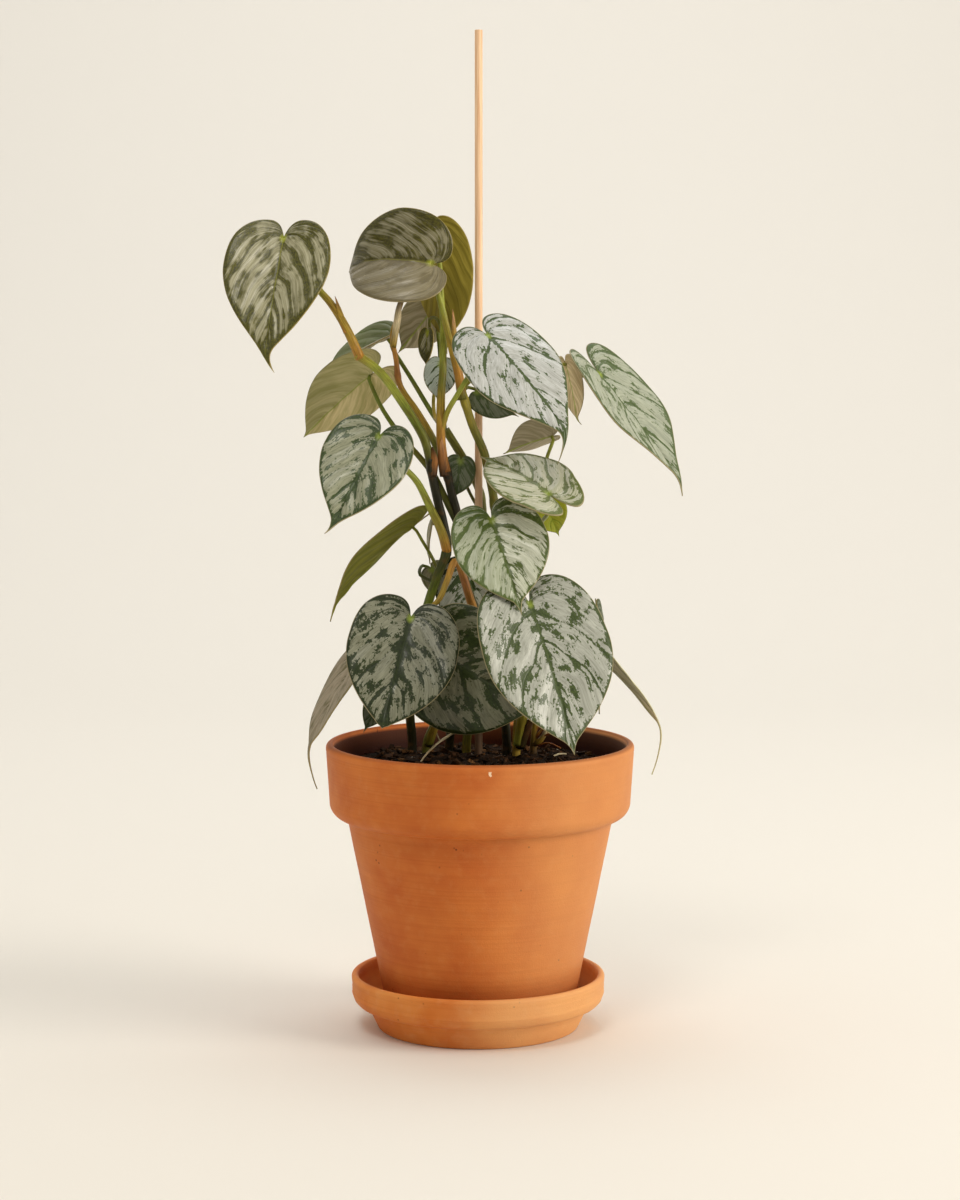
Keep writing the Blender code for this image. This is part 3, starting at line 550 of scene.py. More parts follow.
def edgePoint(share, full):
    start = 0.0
    for end, curve in zip(leafShape["edgeEnds"], leafShape["edgeCurves"]):
        if share <= end:
            part = (share - start) / (end - start)
            point = bezierPoint(curve, part)
            if curve is leafShape["edgeCurves"][2]:
                point += Vector(leafShape["fuller"]) * full * math.sin(math.pi * part)
            return point
        start = end
    return Vector((1.0, 0.0))


def ribPoint(share):
    start = leafShape["veinStart"]
    reach = 0.0 if share <= start else ((share - start) / (1.0 - start)) ** leafShape["veinCrowd"]
    return Vector((reach, 0.0))


def leafEnd(entry):
    return leafShape["dripStart"] + (1.0 - leafShape["dripStart"]) * entry["drip"]


def ribTable(entry, steps=240):
    # the midrib in side view: forward, height and slope at even steps from the heel to the tip
    bend, end = math.radians(entry["bend"]), leafEnd(entry)
    forward = height = 0.0
    table = [(0.0, 0.0, 0.0)]
    for step in range(steps):
        slope = -bend * (end * (step + 0.5) / steps)
        forward += math.cos(slope) * end / steps
        height += math.sin(slope) * end / steps
        table.append((forward, height, slope))
    return table


def ribAt(table, reach, end):
    if reach <= 0:
        return reach, 0.0, 0.0
    place = min(reach / end, 1.0) * (len(table) - 1)
    low = min(int(place), len(table) - 2)
    share = place - low
    return tuple(a + (b - a) * share for a, b in zip(table[low], table[low + 1]))


def leafAxes(entry):
    # along the leaf, across it, out of its face, and sideways before the leaf is turned
    along = (entry["tip"] - entry["heel"]).normalized()
    front = Vector((0, -1, 0))
    facing = (front - along * front.dot(along)).normalized()
    sideways = along.cross(facing)
    facing = Matrix.Rotation(math.radians(entry["turn"]), 3, along) @ facing
    return along, along.cross(facing), facing, sideways


def heelNormal(entry):
    along, _, facing, _ = leafAxes(entry)
    forward, height, _ = ribTable(entry)[-1]
    tilt = math.atan2(height, forward)
    return along * math.sin(tilt) + facing * math.cos(tilt)


def bladeRows(entry, stations):
    # for each station: where its vein starts and ends, and how both move on from there
    rows = []
    step = 1e-3
    for station in range(stations + 1):
        share = station / stations
        low, high = max(0.0, share - step), min(1.0, share + step)
        root, edge = ribPoint(share), edgePoint(share, entry["full"])
        rootOn = (ribPoint(high) - ribPoint(low)) / (high - low)
        edgeOn = (edgePoint(high, entry["full"]) - edgePoint(low, entry["full"])) / (high - low)
        rows.append((share, root, edge, rootOn, edgeOn))
    return rows


def veinGap(row, span, veinTurn, length):
    # mm between neighbouring veins here
    _, root, edge, rootOn, edgeOn = row
    onward = rootOn.lerp(edgeOn, span)
    outward = edge - root
    area = abs(onward.x * outward.y - onward.y * outward.x)
    track = onward * veinTurn + outward
    return length * area / max(track.length, 1e-6) / leafShape["veins"]


def shapeLeaf(entry, grid, layers, stations, spans):
    # lays a flat grid out as the blade, and writes the maps that its materials read
    flow, blade, gap = layers
    along, across, facing, sideways = leafAxes(entry)
    table, end = ribTable(entry), leafEnd(entry)
    tipForward, tipHeight, _ = table[-1]
    chord = (entry["tip"] - entry["heel"]).length
    length = chord / math.hypot(tipForward, tipHeight)
    tilt = math.atan2(tipHeight, tipForward)
    rise = math.radians(entry["fold"])
    rows = bladeRows(entry, stations)
    big = smoothStep(*leafShape["quiltFrom"], length)
    turn, dripStart, waverScale = leafShape["sweepTurn"], leafShape["dripStart"], leafShape["waverScale"]
    for vert in grid:
        station = round((vert.co.x + 0.5) * stations)
        column = round((vert.co.y + 0.5) * 2 * spans) - spans
        span, side = abs(column) / spans, (-1 if column < 0 else 1)
        row = rows[station]
        share, root, edge = row[:3]
        flat = root.lerp(edge, span)
        if flat.x < 0:
            flat.x *= entry["lobe"]
        if flat.x > dripStart:
            flat.x = dripStart + (flat.x - dripStart) * entry["drip"]
        # the vein that this point lies on, counted from the notch to the tip
        drift = entry["look"]["sweep"] * (1 - share)
        number = leafShape["veins"] * (share - drift * span ** turn)
        where = Vector((flat.x * waverScale, flat.y * side * waverScale, entry["heel"].z))
        number += leafShape["waver"] * noise.noise(where)
        gapHere = veinGap(row, span, drift * turn * span ** (turn - 1), length)
        ribFar = span * (edge - root).length * length
        edgeFar = (1 - span) * (edge - root).length * length
        # the fold and the wavy margin, then the swelling between the veins, which ends where they
        # crowd and near the margin, then the groove of the midrib
        forward, height, slope = ribAt(table, flat.x, end)
        reach = flat.y * entry["width"]
        lift = reach * math.sin(rise)
        lift += leafShape["wave"] * reach * span * math.sin(leafShape["waves"] * share + 2.0 * side)
        relief = leafShape["quilt"] * big * math.sin(math.pi * number) ** 2
        relief *= smoothStep(0.0, 2.5, gapHere * 0.5) * smoothStep(0.0, 4.0, edgeFar)
        groove = leafShape["groove"] * big * math.exp(-(ribFar / leafShape["grooveWide"]) ** 2)
        relief -= groove * smoothStep(1.0, 0.9, flat.x / end)
        lift += relief / length
        forward -= lift * math.sin(slope)
        height += lift * math.cos(slope)
        level = forward * math.cos(tilt) + height * math.sin(tilt)
        raised = height * math.cos(tilt) - forward * math.sin(tilt)
        local = along * level + facing * raised + across * (reach * math.cos(rise) * side)
        hooked = max(0.0, (flat.x - leafShape["hookStart"]) / (end - leafShape["hookStart"]))
        local += sideways * entry["hook"] * hooked ** 2
        vert.co = (entry["heel"] + local * length) * mm
        vert[flow] = (number, ribFar, flat.y * side * length)
        vert[blade] = (flat.x * length, flat.y * side * length, edgeFar)
        vert[gap] = gapHere
    return facing


def toNearest(tree, number, gap):
    # mm to the nearest whole number, where the numbers lie a gap apart
    half = addNode(tree, "Math", {0: number, 1: 0.5}, operation="PINGPONG")
    return addNode(tree, "Math", {0: half, 1: gap}, operation="MULTIPLY")


def bladeMaps(tree):
    # the maps from shapeLeaf: vein number, mm between veins, and mm to the midrib, margin and vein
    flow, blade = (addNode(tree, "Attribute", attribute_name=name).outputs["Vector"]
                   for name in ("flowMap", "bladeMap"))
    gap = addNode(tree, "Attribute", attribute_name="veinGap").outputs["Fac"]
    number, ribFar, _ = addNode(tree, "SeparateXYZ", {0: flow}).outputs
    edgeFar = addNode(tree, "SeparateXYZ", {0: blade}).outputs["Z"]
    return flow, blade, gap, number, ribFar, edgeFar, toNearest(tree, number, gap)


def halfTinted(tree, look, blade, colour):
    # on some leaves one half has another tone than the other
    if "half" not in look:
        return colour
    tint, side, most = look["half"]
    sideway = addNode(tree, "SeparateXYZ", {0: blade}).outputs["Y"]
    return laidOver(tree, colour, tint, sideway, (-1.2 * side, 1.2 * side, 0.0, most))


def leafFace(name, look, seed):
    # waxy leaf skin: a satin cuticle over green cells, silver where air lies under the skin
    made, tree = newMaterial("waxyFace_" + name, Specular_IOR_Level=0.26, Coat_Weight=0.28,
                             Coat_Roughness=0.26)
    flow, blade, gap, number, ribFar, edgeFar, veinFar = bladeMaps(tree)
    # mm to the nearest fine vein, and a strength of its own for each vein
    many = addNode(tree, "Math", {0: number, 1: leafShape["fineVeins"]}, operation="MULTIPLY")
    fineFar = toNearest(tree, many, gap)
    nearest = addNode(tree, "Math", {0: number}, operation="ROUND")
    dice = addNode(tree, "Math", {0: nearest, 1: 7.31, 2: seed * 1.7}, operation="MULTIPLY_ADD")
    drawn = addNode(tree, "TexWhiteNoise", {"W": dice}, noise_dimensions="1D").outputs["Value"]
    strength = addNode(tree, "MapRange", {0: drawn, 3: 0.1, 4: 1.25})
    # patterns: 9 mm patches, 1.3 mm crumbs, and streaks and finer streaks that follow the veins
    shift = (seed * 31.7, seed * 17.3, 0.0)     # so that each leaf reads its own part of the noise
    level = addNode(tree, "VectorMath", {0: blade, 1: (1.0, 1.0, 0.0), 2: shift}, operation="MULTIPLY_ADD")
    patch = addNode(tree, "TexNoise", {"Vector": level, "Scale": 0.11, "Detail": 2.0})
    crumb = addNode(tree, "TexNoise", {"Vector": level, "Scale": 0.75, "Detail": 2.0, "Roughness": 0.7})
    wide, long = look["streakWide"], look["streakLong"]
    streak = streaks(tree, flow, (wide, long, 0.03), (seed * 3.1, seed * 7.7, 0.0), Roughness=0.65)
    fine = streaks(tree, flow, (wide * 2.6, long * 1.2, 0.05), Roughness=0.7)
    total = look["bias"] - 0.5 * (look["patch"] + look["streak"] + look["crumb"])
    for source, gain in ((patch, look["patch"]), (streak, look["streak"]), (crumb, look["crumb"])):
        total = addNode(tree, "Math", {0: source, 1: gain, 2: total}, operation="MULTIPLY_ADD")
    # green runs along the midrib, the veins and the margin
    for far, reach, gain, share in ((ribFar, look["rib"], look["ribGain"], 1.0),
                                   (veinFar, look["vein"], look["veinGain"], strength),
                                   (edgeFar, look["edge"], look["edgeGain"], 1.0)):
        part = addNode(tree, "MapRange", {0: far, 1: 0.0, 2: reach, 3: gain, 4: 0.0},
                       interpolation_type="SMOOTHSTEP")
        total = addNode(tree, "Math", {0: part, 1: share, 2: total}, operation="MULTIPLY_ADD")
    middle, soft = leafShape["greenFrom"], look["soft"]
    mask = addNode(tree, "MapRange", {0: total, 1: middle - soft, 2: middle + soft},
                   interpolation_type="SMOOTHSTEP")
    # silver with brighter streaks, and green with lighter crumbs
    silver = laidOver(tree, look["deep"], look["light"], fine, (0.30, 0.68))
    green = laidOver(tree, look["green"], look["greenLight"], crumb, (0.35, 0.68))
    colour = laidOver(tree, silver, green, mask)
    # fine veins as faint darker threads, then the midrib and its pale heel, then the thin margin, all in mm
    colour = laidOver(tree, colour, look["green"], fineFar, (0.0, 0.9, 0.22, 0.0))
    colour = laidOver(tree, colour, look.get("ribTone", look["greenLight"]), ribFar, (0.25, 0.55, 0.65, 0.0))
    colour = laidOver(tree, colour, look["heel"], axisReach(tree, blade), (0.8, 3.2, 0.9, 0.0))
    colour = laidOver(tree, colour, look["margin"], edgeFar, (0.15, 0.45, 0.85, 0.0))
    colour = halfTinted(tree, look, blade, colour)
    # silver is a little glossier than green; the veins lie in fine grooves
    gloss = addNode(tree, "MapRange", {0: mask, 3: look["shine"], 4: look["shine"] + 0.10})
    groove = addNode(tree, "MapRange", {0: veinFar, 1: 0.0, 2: 0.7, 3: -1.0, 4: 0.0},
                     interpolation_type="SMOOTHSTEP")
    cells = addNode(tree, "Math", {0: fine, 1: 0.8, 2: groove}, operation="MULTIPLY_ADD")
    return finishMaterial(made, colour, cells, 0.55, 0.25, gloss)


def leafBack(name, look, seed):
    # the underside: matt and paler, with raised veins and streaks that follow them
    made, tree = newMaterial("mattBack_" + name, Roughness=0.60, Specular_IOR_Level=0.22)
    flow, blade, _, _, ribFar, edgeFar, veinFar = bladeMaps(tree)
    streak = streaks(tree, flow, (3.0, 0.05, 0.03), (seed * 5.3, seed * 2.9, 0.0), Roughness=0.6)
    colour = laidOver(tree, look["underDeep"], look["under"], streak, (0.36, 0.64))
    colour = laidOver(tree, colour, look["underDeep"], veinFar, (0.2, 0.7, look.get("backVein", 0.45), 0.0))
    colour = laidOver(tree, colour, look["heel"], ribFar, (0.3, 0.8, 0.7, 0.0))
    colour = laidOver(tree, colour, look["margin"], edgeFar, (0.15, 0.45, 0.8, 0.0))
    colour = halfTinted(tree, look, blade, colour)
    ridge = addNode(tree, "MapRange", {0: veinFar, 1: 0.0, 2: 0.6, 3: 1.0, 4: 0.0},
                    interpolation_type="SMOOTHSTEP")
    relief = addNode(tree, "Math", {0: streak, 1: 0.5, 2: ridge}, operation="MULTIPLY_ADD")
    return finishMaterial(made, colour, relief, 0.5, 0.25)


def buildLeaf(node, entry, seed):
    small = (entry["tip"] - entry["heel"]).length < leafShape["smallLeaf"]
    stations = leafShape["smallStations"] if small else leafShape["stations"]
    spans = leafShape["smallSpans"] if small else leafShape["spans"]
    bm = bmesh.new()
    bm.loops.layers.uv.new("bladeUv")
    vectors = bm.verts.layers.float_vector
    layers = (vectors.new("flowMap"), vectors.new("bladeMap"), bm.verts.layers.float.new("veinGap"))
    grid = bmesh.ops.create_grid(bm, x_segments=stations, y_segments=2 * spans, size=0.5,
                                 calc_uvs=True)["verts"]
    facing = shapeLeaf(entry, grid, layers, stations, spans)
    bmesh.ops.remove_doubles(bm, verts=bm.verts, dist=0.004 * mm)
    bm.normal_update()
    if sum(face.normal.dot(facing) * face.calc_area() for face in bm.faces) < 0:
        bmesh.ops.reverse_faces(bm, faces=bm.faces)
    short = node.replace("leaf_", "")
    finishes = [leafFace(short, entry["look"], seed), leafBack(short, entry["look"], seed)]
    piece = placePiece("heartLeaf_" + short, bm, finishes, [node])
    skin = piece.modifiers.new("blade", "SOLIDIFY")
    skin.thickness = leafShape["blade"] * mm
    skin.offset = 0.0
    skin.material_offset = 1


for seed, (node, entry) in enumerate(leaves.items(), 1):
    buildLeaf(node, entry, seed)
print("leaves grown:", len(leaves))


# stems, leaf stalks and papery sheaths

stems = {
    # tones from the soil upwards; a strand names them in order along its length
    "tones": {
        "black": "#262310", "old": "#2E2A12", "dark": "#3C401A", "olive": "#66661F", "green": "#687624",
        "lime": "#969C3A", "yellow": "#9C8E34", "ochre": "#A0842E", "orange": "#B07E32", "pink": "#A8794A",
        "rust": "#8E5C2A", "brown": "#463019", "cream": "#CFC09A", "root": "#A38F6C", "fibre": "#9C5A22",
    },
    "blotch": "#80562A",
    "rootHeights": (118, 135, 147),            # a rooted stem stands upright up to the soil
    "thickFrom": 1.5, "thickSides": 14, "thinSides": 10, "spacing": 2.6, "mapRadius": 2.0,
    # a stalk bends to its leaf this far behind the blade and its heel, and ends just in the blade
    "seatDrop": 3.4, "seatBack": 0.4, "seatTouch": 0.35,
    "ringSwell": 0.42, "ringLong": 2.2,
}


def rooted(x, y):
    return [(x, y, height) for height in stems["rootHeights"]]


def strand(radii, toneNames, *points, carries=None, rings=()):
    return dict(radii=radii, tones=toneNames.split(), points=points, carries=carries, rings=rings)


def sheath(wide, toneNames, foot, tip, away):
    return dict(wide=wide, tones=toneNames.split(), foot=Vector(foot), tip=Vector(tip), away=Vector(away))


# Each rooted stem: first its own way up from below the soil, then the stalks that branch from it and
# the leaf that each carries. A strand has its two end radii, its tones, its points, and the places of its
# node rings as shares of its length.
vines = {
    "vine_left": (
        strand((2.5, 2.3), "old black dark green green dark black black", *rooted(-36, 30),
               (-37, 24, 166), (-34, 12, 194), (-27, 4, 221), (-22, 1, 236), (-17, 0, 250), (-19, 0, 264),
               (-22, 0, 276), (-25, -2, 291), (-25, -3, 297), rings=(0.27, 0.48, 0.73, 0.97)),
        strand((2.3, 2.2), "dark olive green lime lime yellow", (-25, -2, 293), (-29, -4, 308),
               (-40, -4, 326), (-51, -4, 341), (-63, -4, 350), rings=(0.0, 1.0)),
        strand((2.6, 1.0), "orange ochre ochre lime lime lime", (-61, -4, 348), (-69, -5, 365),
               (-76, -5, 376), (-82, -4, 383), (-91, 1, 396), carries="leaf_top_left"),
        strand((2.6, 1.0), "orange yellow lime lime lime lime", (-17, 0, 249), (-20, -4, 260),
               (-26, -6, 273), (-32, -8, 285), (-39, -10, 293), (-45, -12, 301),
               carries="leaf_left_middle"),
        strand((1.0, 0.8), "olive lime", (-21, 2, 238), (-26, 9, 247), (-30, 6, 254),
               carries="leaf_left_low"),
        strand((1.0, 0.8), "olive green", (-19, 0, 268), (-23, 7, 268), carries="leaf_slim_inner"),
        strand((1.0, 0.8), "dark green", (-23, 2, 232), (-31, 8, 236), (-30, 17, 240),
               carries="leaf_small_inner"),
        strand((1.2, 0.9), "dark olive olive", (-36, 20, 176), (-46, 8, 187), (-57, -2, 193),
               carries="leaf_left_drooping"),
        strand((1.0, 0.8), "dark olive", (-37, 24, 166), (-43, 18, 172), carries="leaf_low_tip"),
    ),
    "vine_inner": (
        strand((2.4, 2.2), "black old black dark dark black black", *rooted(-16, 25), (-13, 20, 161),
               (-5, 8, 181), (0, -4, 208), (-5, -2, 226), (-9, 0, 239), (-10, 2, 255), (-12, 3, 269),
               (-15, 3, 280), (-18, 2, 295), rings=(0.50, 0.78, 0.97)),
        strand((2.6, 1.1), "rust orange ochre olive lime lime lime lime lime", (-18, 1, 290),
               (-20, -1, 306), (-20, -2, 327), (-19, 0, 342), (-19, 3, 353), (-19, 6, 366), (-20, 7, 382),
               (-21, 8, 398), carries="leaf_top_back", rings=(0.0,)),
        strand((2.2, 0.9), "olive olive ochre ochre rust orange ochre brown", (-18, 4, 292),
               (-24, 5, 306), (-32, 5, 320), (-41, 4, 334), (-43, 3, 347), (-45, 2, 360), (-42, 2, 370),
               (-39, 2, 380), rings=(0.56,)),
        strand((1.5, 1.0), "ochre lime green lime", (-20, -1, 309), (-17, -4, 320), (-12, -7, 329),
               (-6, -12, 339), (-1, -18, 348), carries="leaf_front_upper"),
        strand((2.0, 0.9), "dark olive olive green green", (-12, 3, 264), (-18, 5, 276), (-24, 6, 288),
               (-31, 6, 297), (-39, 7, 306), (-46, 9, 315), (-52, 8, 325), carries="leaf_left_under"),
        strand((2.6, 1.0), "orange orange rust orange ochre ochre lime", (0, -5, 207), (-5, -11, 225),
               (-12, -15, 245), (-17, -20, 235), (-22, -25, 225), carries="leaf_front_left"),
        strand((1.0, 0.8), "dark green", (-10, 2, 252), (-7, 7, 250), carries="leaf_inner_middle"),
        strand((1.0, 0.8), "ochre lime", (-20, -1, 317), (-23, 9, 317), (-24, 15, 328),
               carries="leaf_young_inner"),
        strand((0.9, 0.8), "olive olive", (-19, 5, 360), (-22, 10, 368), (-26, 16, 368),
               carries="leaf_rolled_inner"),
    ),
    "vine_centre": (
        strand((2.4, 2.2), "black black dark olive olive olive olive yellow", *rooted(14, 15),
               (13, 14, 164), (10, 10, 223), (9, 9, 254), (7, 8, 276), (4, 5, 291), (2, 4, 300),
               (-4, 3, 314), (-9, 2, 330), rings=(0.48, 0.72, 0.98)),
        strand((2.6, 1.1), "olive orange ochre yellow lime lime lime", (-9, 2, 327), (-11, 1, 340),
               (-14, 0, 352), (-17, -1, 364), (-20, -1, 376), (-23, -2, 387), carries="leaf_top",
               rings=(0.0,)),
        strand((1.3, 1.0), "olive lime", (9, 9, 250), (8, -8, 260), carries="leaf_centre"),
        strand((1.3, 1.0), "olive green lime", (10, 10, 231), (20, 4, 250), (29, -2, 261), (32, -14, 266),
               (34, -26, 270), carries="leaf_centre_right"),
        strand((1.2, 0.9), "olive green lime", (10, 9, 242), (17, 7, 249), (24, 8, 256), (30, 8, 269),
               (33, 6, 283), (34, 5, 295), carries="leaf_under_upper"),
        strand((1.2, 0.9), "olive green lime", (-10, 2, 332), (0, 4, 340), (16, 4, 343), (35, -6, 344),
               carries="leaf_right_inner"),
        strand((1.2, 0.9), "olive green lime", (16, 4, 343), (36, 11, 339), (52, 9, 339),
               carries="leaf_right"),
        strand((0.9, 0.7), "olive lime", (24, 8, 256), (28, 10, 266), carries="leaf_young"),
        strand((0.9, 0.8), "olive green", (-8, 3, 332), (-6, 8, 333), carries="leaf_shaded"),
    ),
    "vine_front": (
        strand((2.5, 1.2), "brown ochre yellow lime lime lime", *rooted(19, 10), (20, 5, 166),
               (23, -7, 188), (24, -24, 211), carries="leaf_front_right"),
        strand((1.3, 1.0), "olive lime", (23, -6, 186), (36, -8, 206), (49, -10, 222),
               carries="leaf_right_edge"),
        strand((1.3, 1.0), "olive ochre", (20, 4, 168), (36, 2, 184), (50, 6, 194),
               carries="leaf_right_low"),
    ),
    "vine_low": (
        strand((2.4, 1.2), "old olive olive green", *rooted(-28, 20), (-22, 10, 162), (-18, 0, 179),
               (-19, -8, 192), carries="leaf_front_middle"),
    ),
    "vine_back": (
        strand((2.4, 2.2), "ochre olive dark dark olive olive", *rooted(-7, 18), (-5, 18, 169),
               (-2, 18, 222), (0, 18, 253), (1, 18, 272), (-1, 18, 281), (-7, 18, 293), (-13, 18, 303),
               (-18, 18, 311), rings=(0.45, 0.76)),
        strand((1.4, 1.0), "olive green green lime", (-17, 18, 309), (-24, 18, 318), (-35, 20, 336),
               (-40, 20, 344), (-45, 20, 352), carries="leaf_back_left"),
        strand((1.2, 0.9), "olive green", (-18, 18, 308), (-20, 19, 330), (-21, 20, 352),
               carries="leaf_back_upper"),
        strand((0.9, 0.8), "olive dark", (0, 18, 268), (-7, 14, 282), carries="leaf_small_dark"),
    ),
    "old_stub": (
        strand((2.4, 1.5), "old brown ochre", *rooted(28, 14), (29, 13, 160)),
        strand((1.8, 1.0), "brown ochre cream", (28, 14, 146), (32, 12, 149), (35, 11, 155)),
    ),
}


# Papery sheaths that stand at the nodes, each clasping its stem and narrowing to a free tip.
sheathShape = {"along": 12, "around": 8, "thick": 0.3, "spread": 115, "tipSpread": 8, "flare": 0.2}

sheaths = {
    "vine_left": (
        sheath(2.0, "orange ochre pink", (-68, -5, 361.5), (-75.6, -5, 379), (0.9, -0.3, 0.4)),
        sheath(2.4, "brown rust brown", (-24.5, -2, 288), (-23, -3, 303), (-0.6, -0.9, 0)),
    ),
    "vine_inner": (
        sheath(1.7, "ochre cream brown", (-44.6, 1.6, 354), (-40.4, 0.8, 379), (-0.2, -1, 0)),
        sheath(2.4, "brown rust pink", (-18.3, 0.5, 288), (-21, -1.5, 308), (0.7, -0.8, 0)),
    ),
    "vine_centre": (
        sheath(1.9, "orange ochre pink", (-11, 1, 340), (-15.6, -0.5, 373), (0.8, -0.5, 0.2)),
        sheath(2.3, "brown ochre cream", (9.6, 10, 226), (8.4, 6, 247), (-0.5, -1, 0)),
    ),
    "vine_front": (
        sheath(2.8, "lime yellow lime", (20.2, 8.5, 147), (23.4, -1, 172), (-0.4, -1, 0)),
        sheath(2.9, "old brown old", (20.6, 9, 146), (27.4, 0, 171), (1, -0.2, 0)),
    ),
    "vine_low": (
        sheath(2.6, "olive ochre brown", (-27, 18, 146), (-21.5, 4, 168), (0.9, -0.5, 0)),
    ),
}


def smoothRoute(points, spacing):
    ends = [points[0] * 2 - points[1]] + points + [points[-1] * 2 - points[-2]]
    route = []
    for a, b, c, d in zip(ends, ends[1:], ends[2:], ends[3:]):
        count = max(1, round((c - b).length / spacing))
        for step in range(count):
            t = step / count
            route.append(0.5 * ((2 * b) + (c - a) * t + (2 * a - 5 * b + 4 * c - d) * t ** 2
                                + (3 * b - a - 3 * c + d) * t ** 3))
    route.append(points[-1])
    return route


def toneAt(names, share):
    place = share * (len(names) - 1)
    low = min(int(place), len(names) - 2)
    below, above = (Vector(linear(stems["tones"][name])) for name in names[low:low + 2])
    return below.lerp(above, smoothStep(0.0, 1.0, place - low))


def ringNear(rings, share, length):
    # 1 at a node ring, falling to 0 a ring's length away
    gaps = [abs(share - ring) * length / stems["ringLong"] for ring in rings]
    return math.exp(-min(gaps) ** 2) if gaps else 0.0


def addTube(bm, layers, route, radiusAt, tones, sides):
    strandMap, tone = layers
    radius = stems["mapRadius"]         # the same on thin and thick strands, so their fibres match
    lengths = [0.0]
    for low, high in zip(route, route[1:]):
        lengths.append(lengths[-1] + (high - low).length)
    frameTurn = None
    rings = []
    for index, point in enumerate(route):
        heading = (route[min(index + 1, len(route) - 1)] - route[max(index - 1, 0)]).normalized()
        if frameTurn is None:
            frameTurn = heading.to_track_quat("Z", "Y")
        else:
            frameTurn = (frameTurn @ Vector((0, 0, 1))).rotation_difference(heading) @ frameTurn
        share = lengths[index] / lengths[-1]
        place = Matrix.Translation(point * mm) @ frameTurn.to_matrix().to_4x4()
        ring = bmesh.ops.create_circle(bm, segments=sides, radius=radiusAt(share, lengths[-1]) * mm,
                                       matrix=place)["verts"]
        for step, vert in enumerate(ring):
            angle = math.tau * step / sides
            vert[strandMap] = (lengths[index], radius * math.cos(angle), radius * math.sin(angle))
            vert[tone] = toneAt(tones, share)
        rings.append(list({edge for vert in ring for edge in vert.link_edges}))
    for first, second in zip(rings, rings[1:]):
        bmesh.ops.bridge_loops(bm, edges=first + second)
    for end in (rings[0], rings[-1]):
        bmesh.ops.contextual_create(bm, geom=end)


def addStrand(bm, layers, entry):
    points = [Vector(point) for point in entry["points"]]
    if entry["carries"]:
        carried = leaves[entry["carries"]]
        normal, along = heelNormal(carried), leafAxes(carried)[0]
        points.append(carried["heel"] - normal * stems["seatDrop"] - along * stems["seatBack"])
        points.append(carried["heel"] - normal * stems["seatTouch"])
    start, end = entry["radii"]
    sides = stems["thickSides"] if start > stems["thickFrom"] else stems["thinSides"]

    def radiusAt(share, length):
        swell = stems["ringSwell"] * ringNear(entry["rings"], share, length)
        return start + (end - start) * share + swell

    addTube(bm, layers, smoothRoute(points, stems["spacing"]), radiusAt, entry["tones"], sides)


def addSheath(bm, layers, entry):
    strandMap, tone = layers
    before = set(bm.verts)
    way = entry["tip"] - entry["foot"]
    heading = way.normalized()
    outward = (entry["away"] - heading * entry["away"].dot(heading)).normalized()
    sideward = heading.cross(outward)
    sheet = bmesh.ops.create_grid(bm, x_segments=sheathShape["along"], y_segments=sheathShape["around"],
                                  size=0.5)["verts"]
    for vert in sheet:
        reach, turn = vert.co.x + 0.5, 2 * vert.co.y
        opening = (1 - reach ** 2) * sheathShape["spread"] + sheathShape["tipSpread"]
        angle = math.radians(opening) * turn
        radius = entry["wide"] * (1 + sheathShape["flare"] * reach * math.sin(math.pi * reach))
        place = entry["foot"] + way * reach
        place += (outward * math.cos(angle) + sideward * math.sin(angle)) * radius
        vert.co = place * mm
    sheetFaces = list({face for vert in sheet for face in vert.link_faces})
    bmesh.ops.solidify(bm, geom=sheetFaces, thickness=sheathShape["thick"] * mm)
    for vert in set(bm.verts) - before:
        offset = vert.co / mm - entry["foot"]
        reach = min(1.0, max(0.0, offset.dot(heading) / way.length))
        vert[strandMap] = (offset.dot(heading), offset.dot(outward), offset.dot(sideward))
        vert[tone] = toneAt(entry["tones"], reach)


def stemMaterial():
    # living stem skin: satin, with long fibres under it and redder blotches
    made, tree = newMaterial("stemSkin", Roughness=0.42, Specular_IOR_Level=0.28)
    way = addNode(tree, "Attribute", attribute_name="strandMap").outputs["Vector"]
    tone = addNode(tree, "Attribute", attribute_name="tone").outputs["Color"]
    # fibres 0.6 mm wide and 8 mm long, then blotches of 3 to 5 mm
    fibre = streaks(tree, way, (0.08, 1.0, 1.0), Scale=1.6, Detail=4.0, Roughness=0.65)
    blotch = streaks(tree, way, (0.2, 0.3, 0.3))
    darker = addNode(tree, "MapRange", {0: fibre, 1: 0.36, 2: 0.64, 3: 0.62, 4: 1.25})
    shaded = addNode(tree, "VectorMath", {0: tone, "Scale": darker}, operation="SCALE")
    colour = laidOver(tree, shaded, stems["blotch"], blotch, (0.55, 0.72, 0.0, 0.25))
    return finishMaterial(made, colour, fibre, 0.5, 0.3)


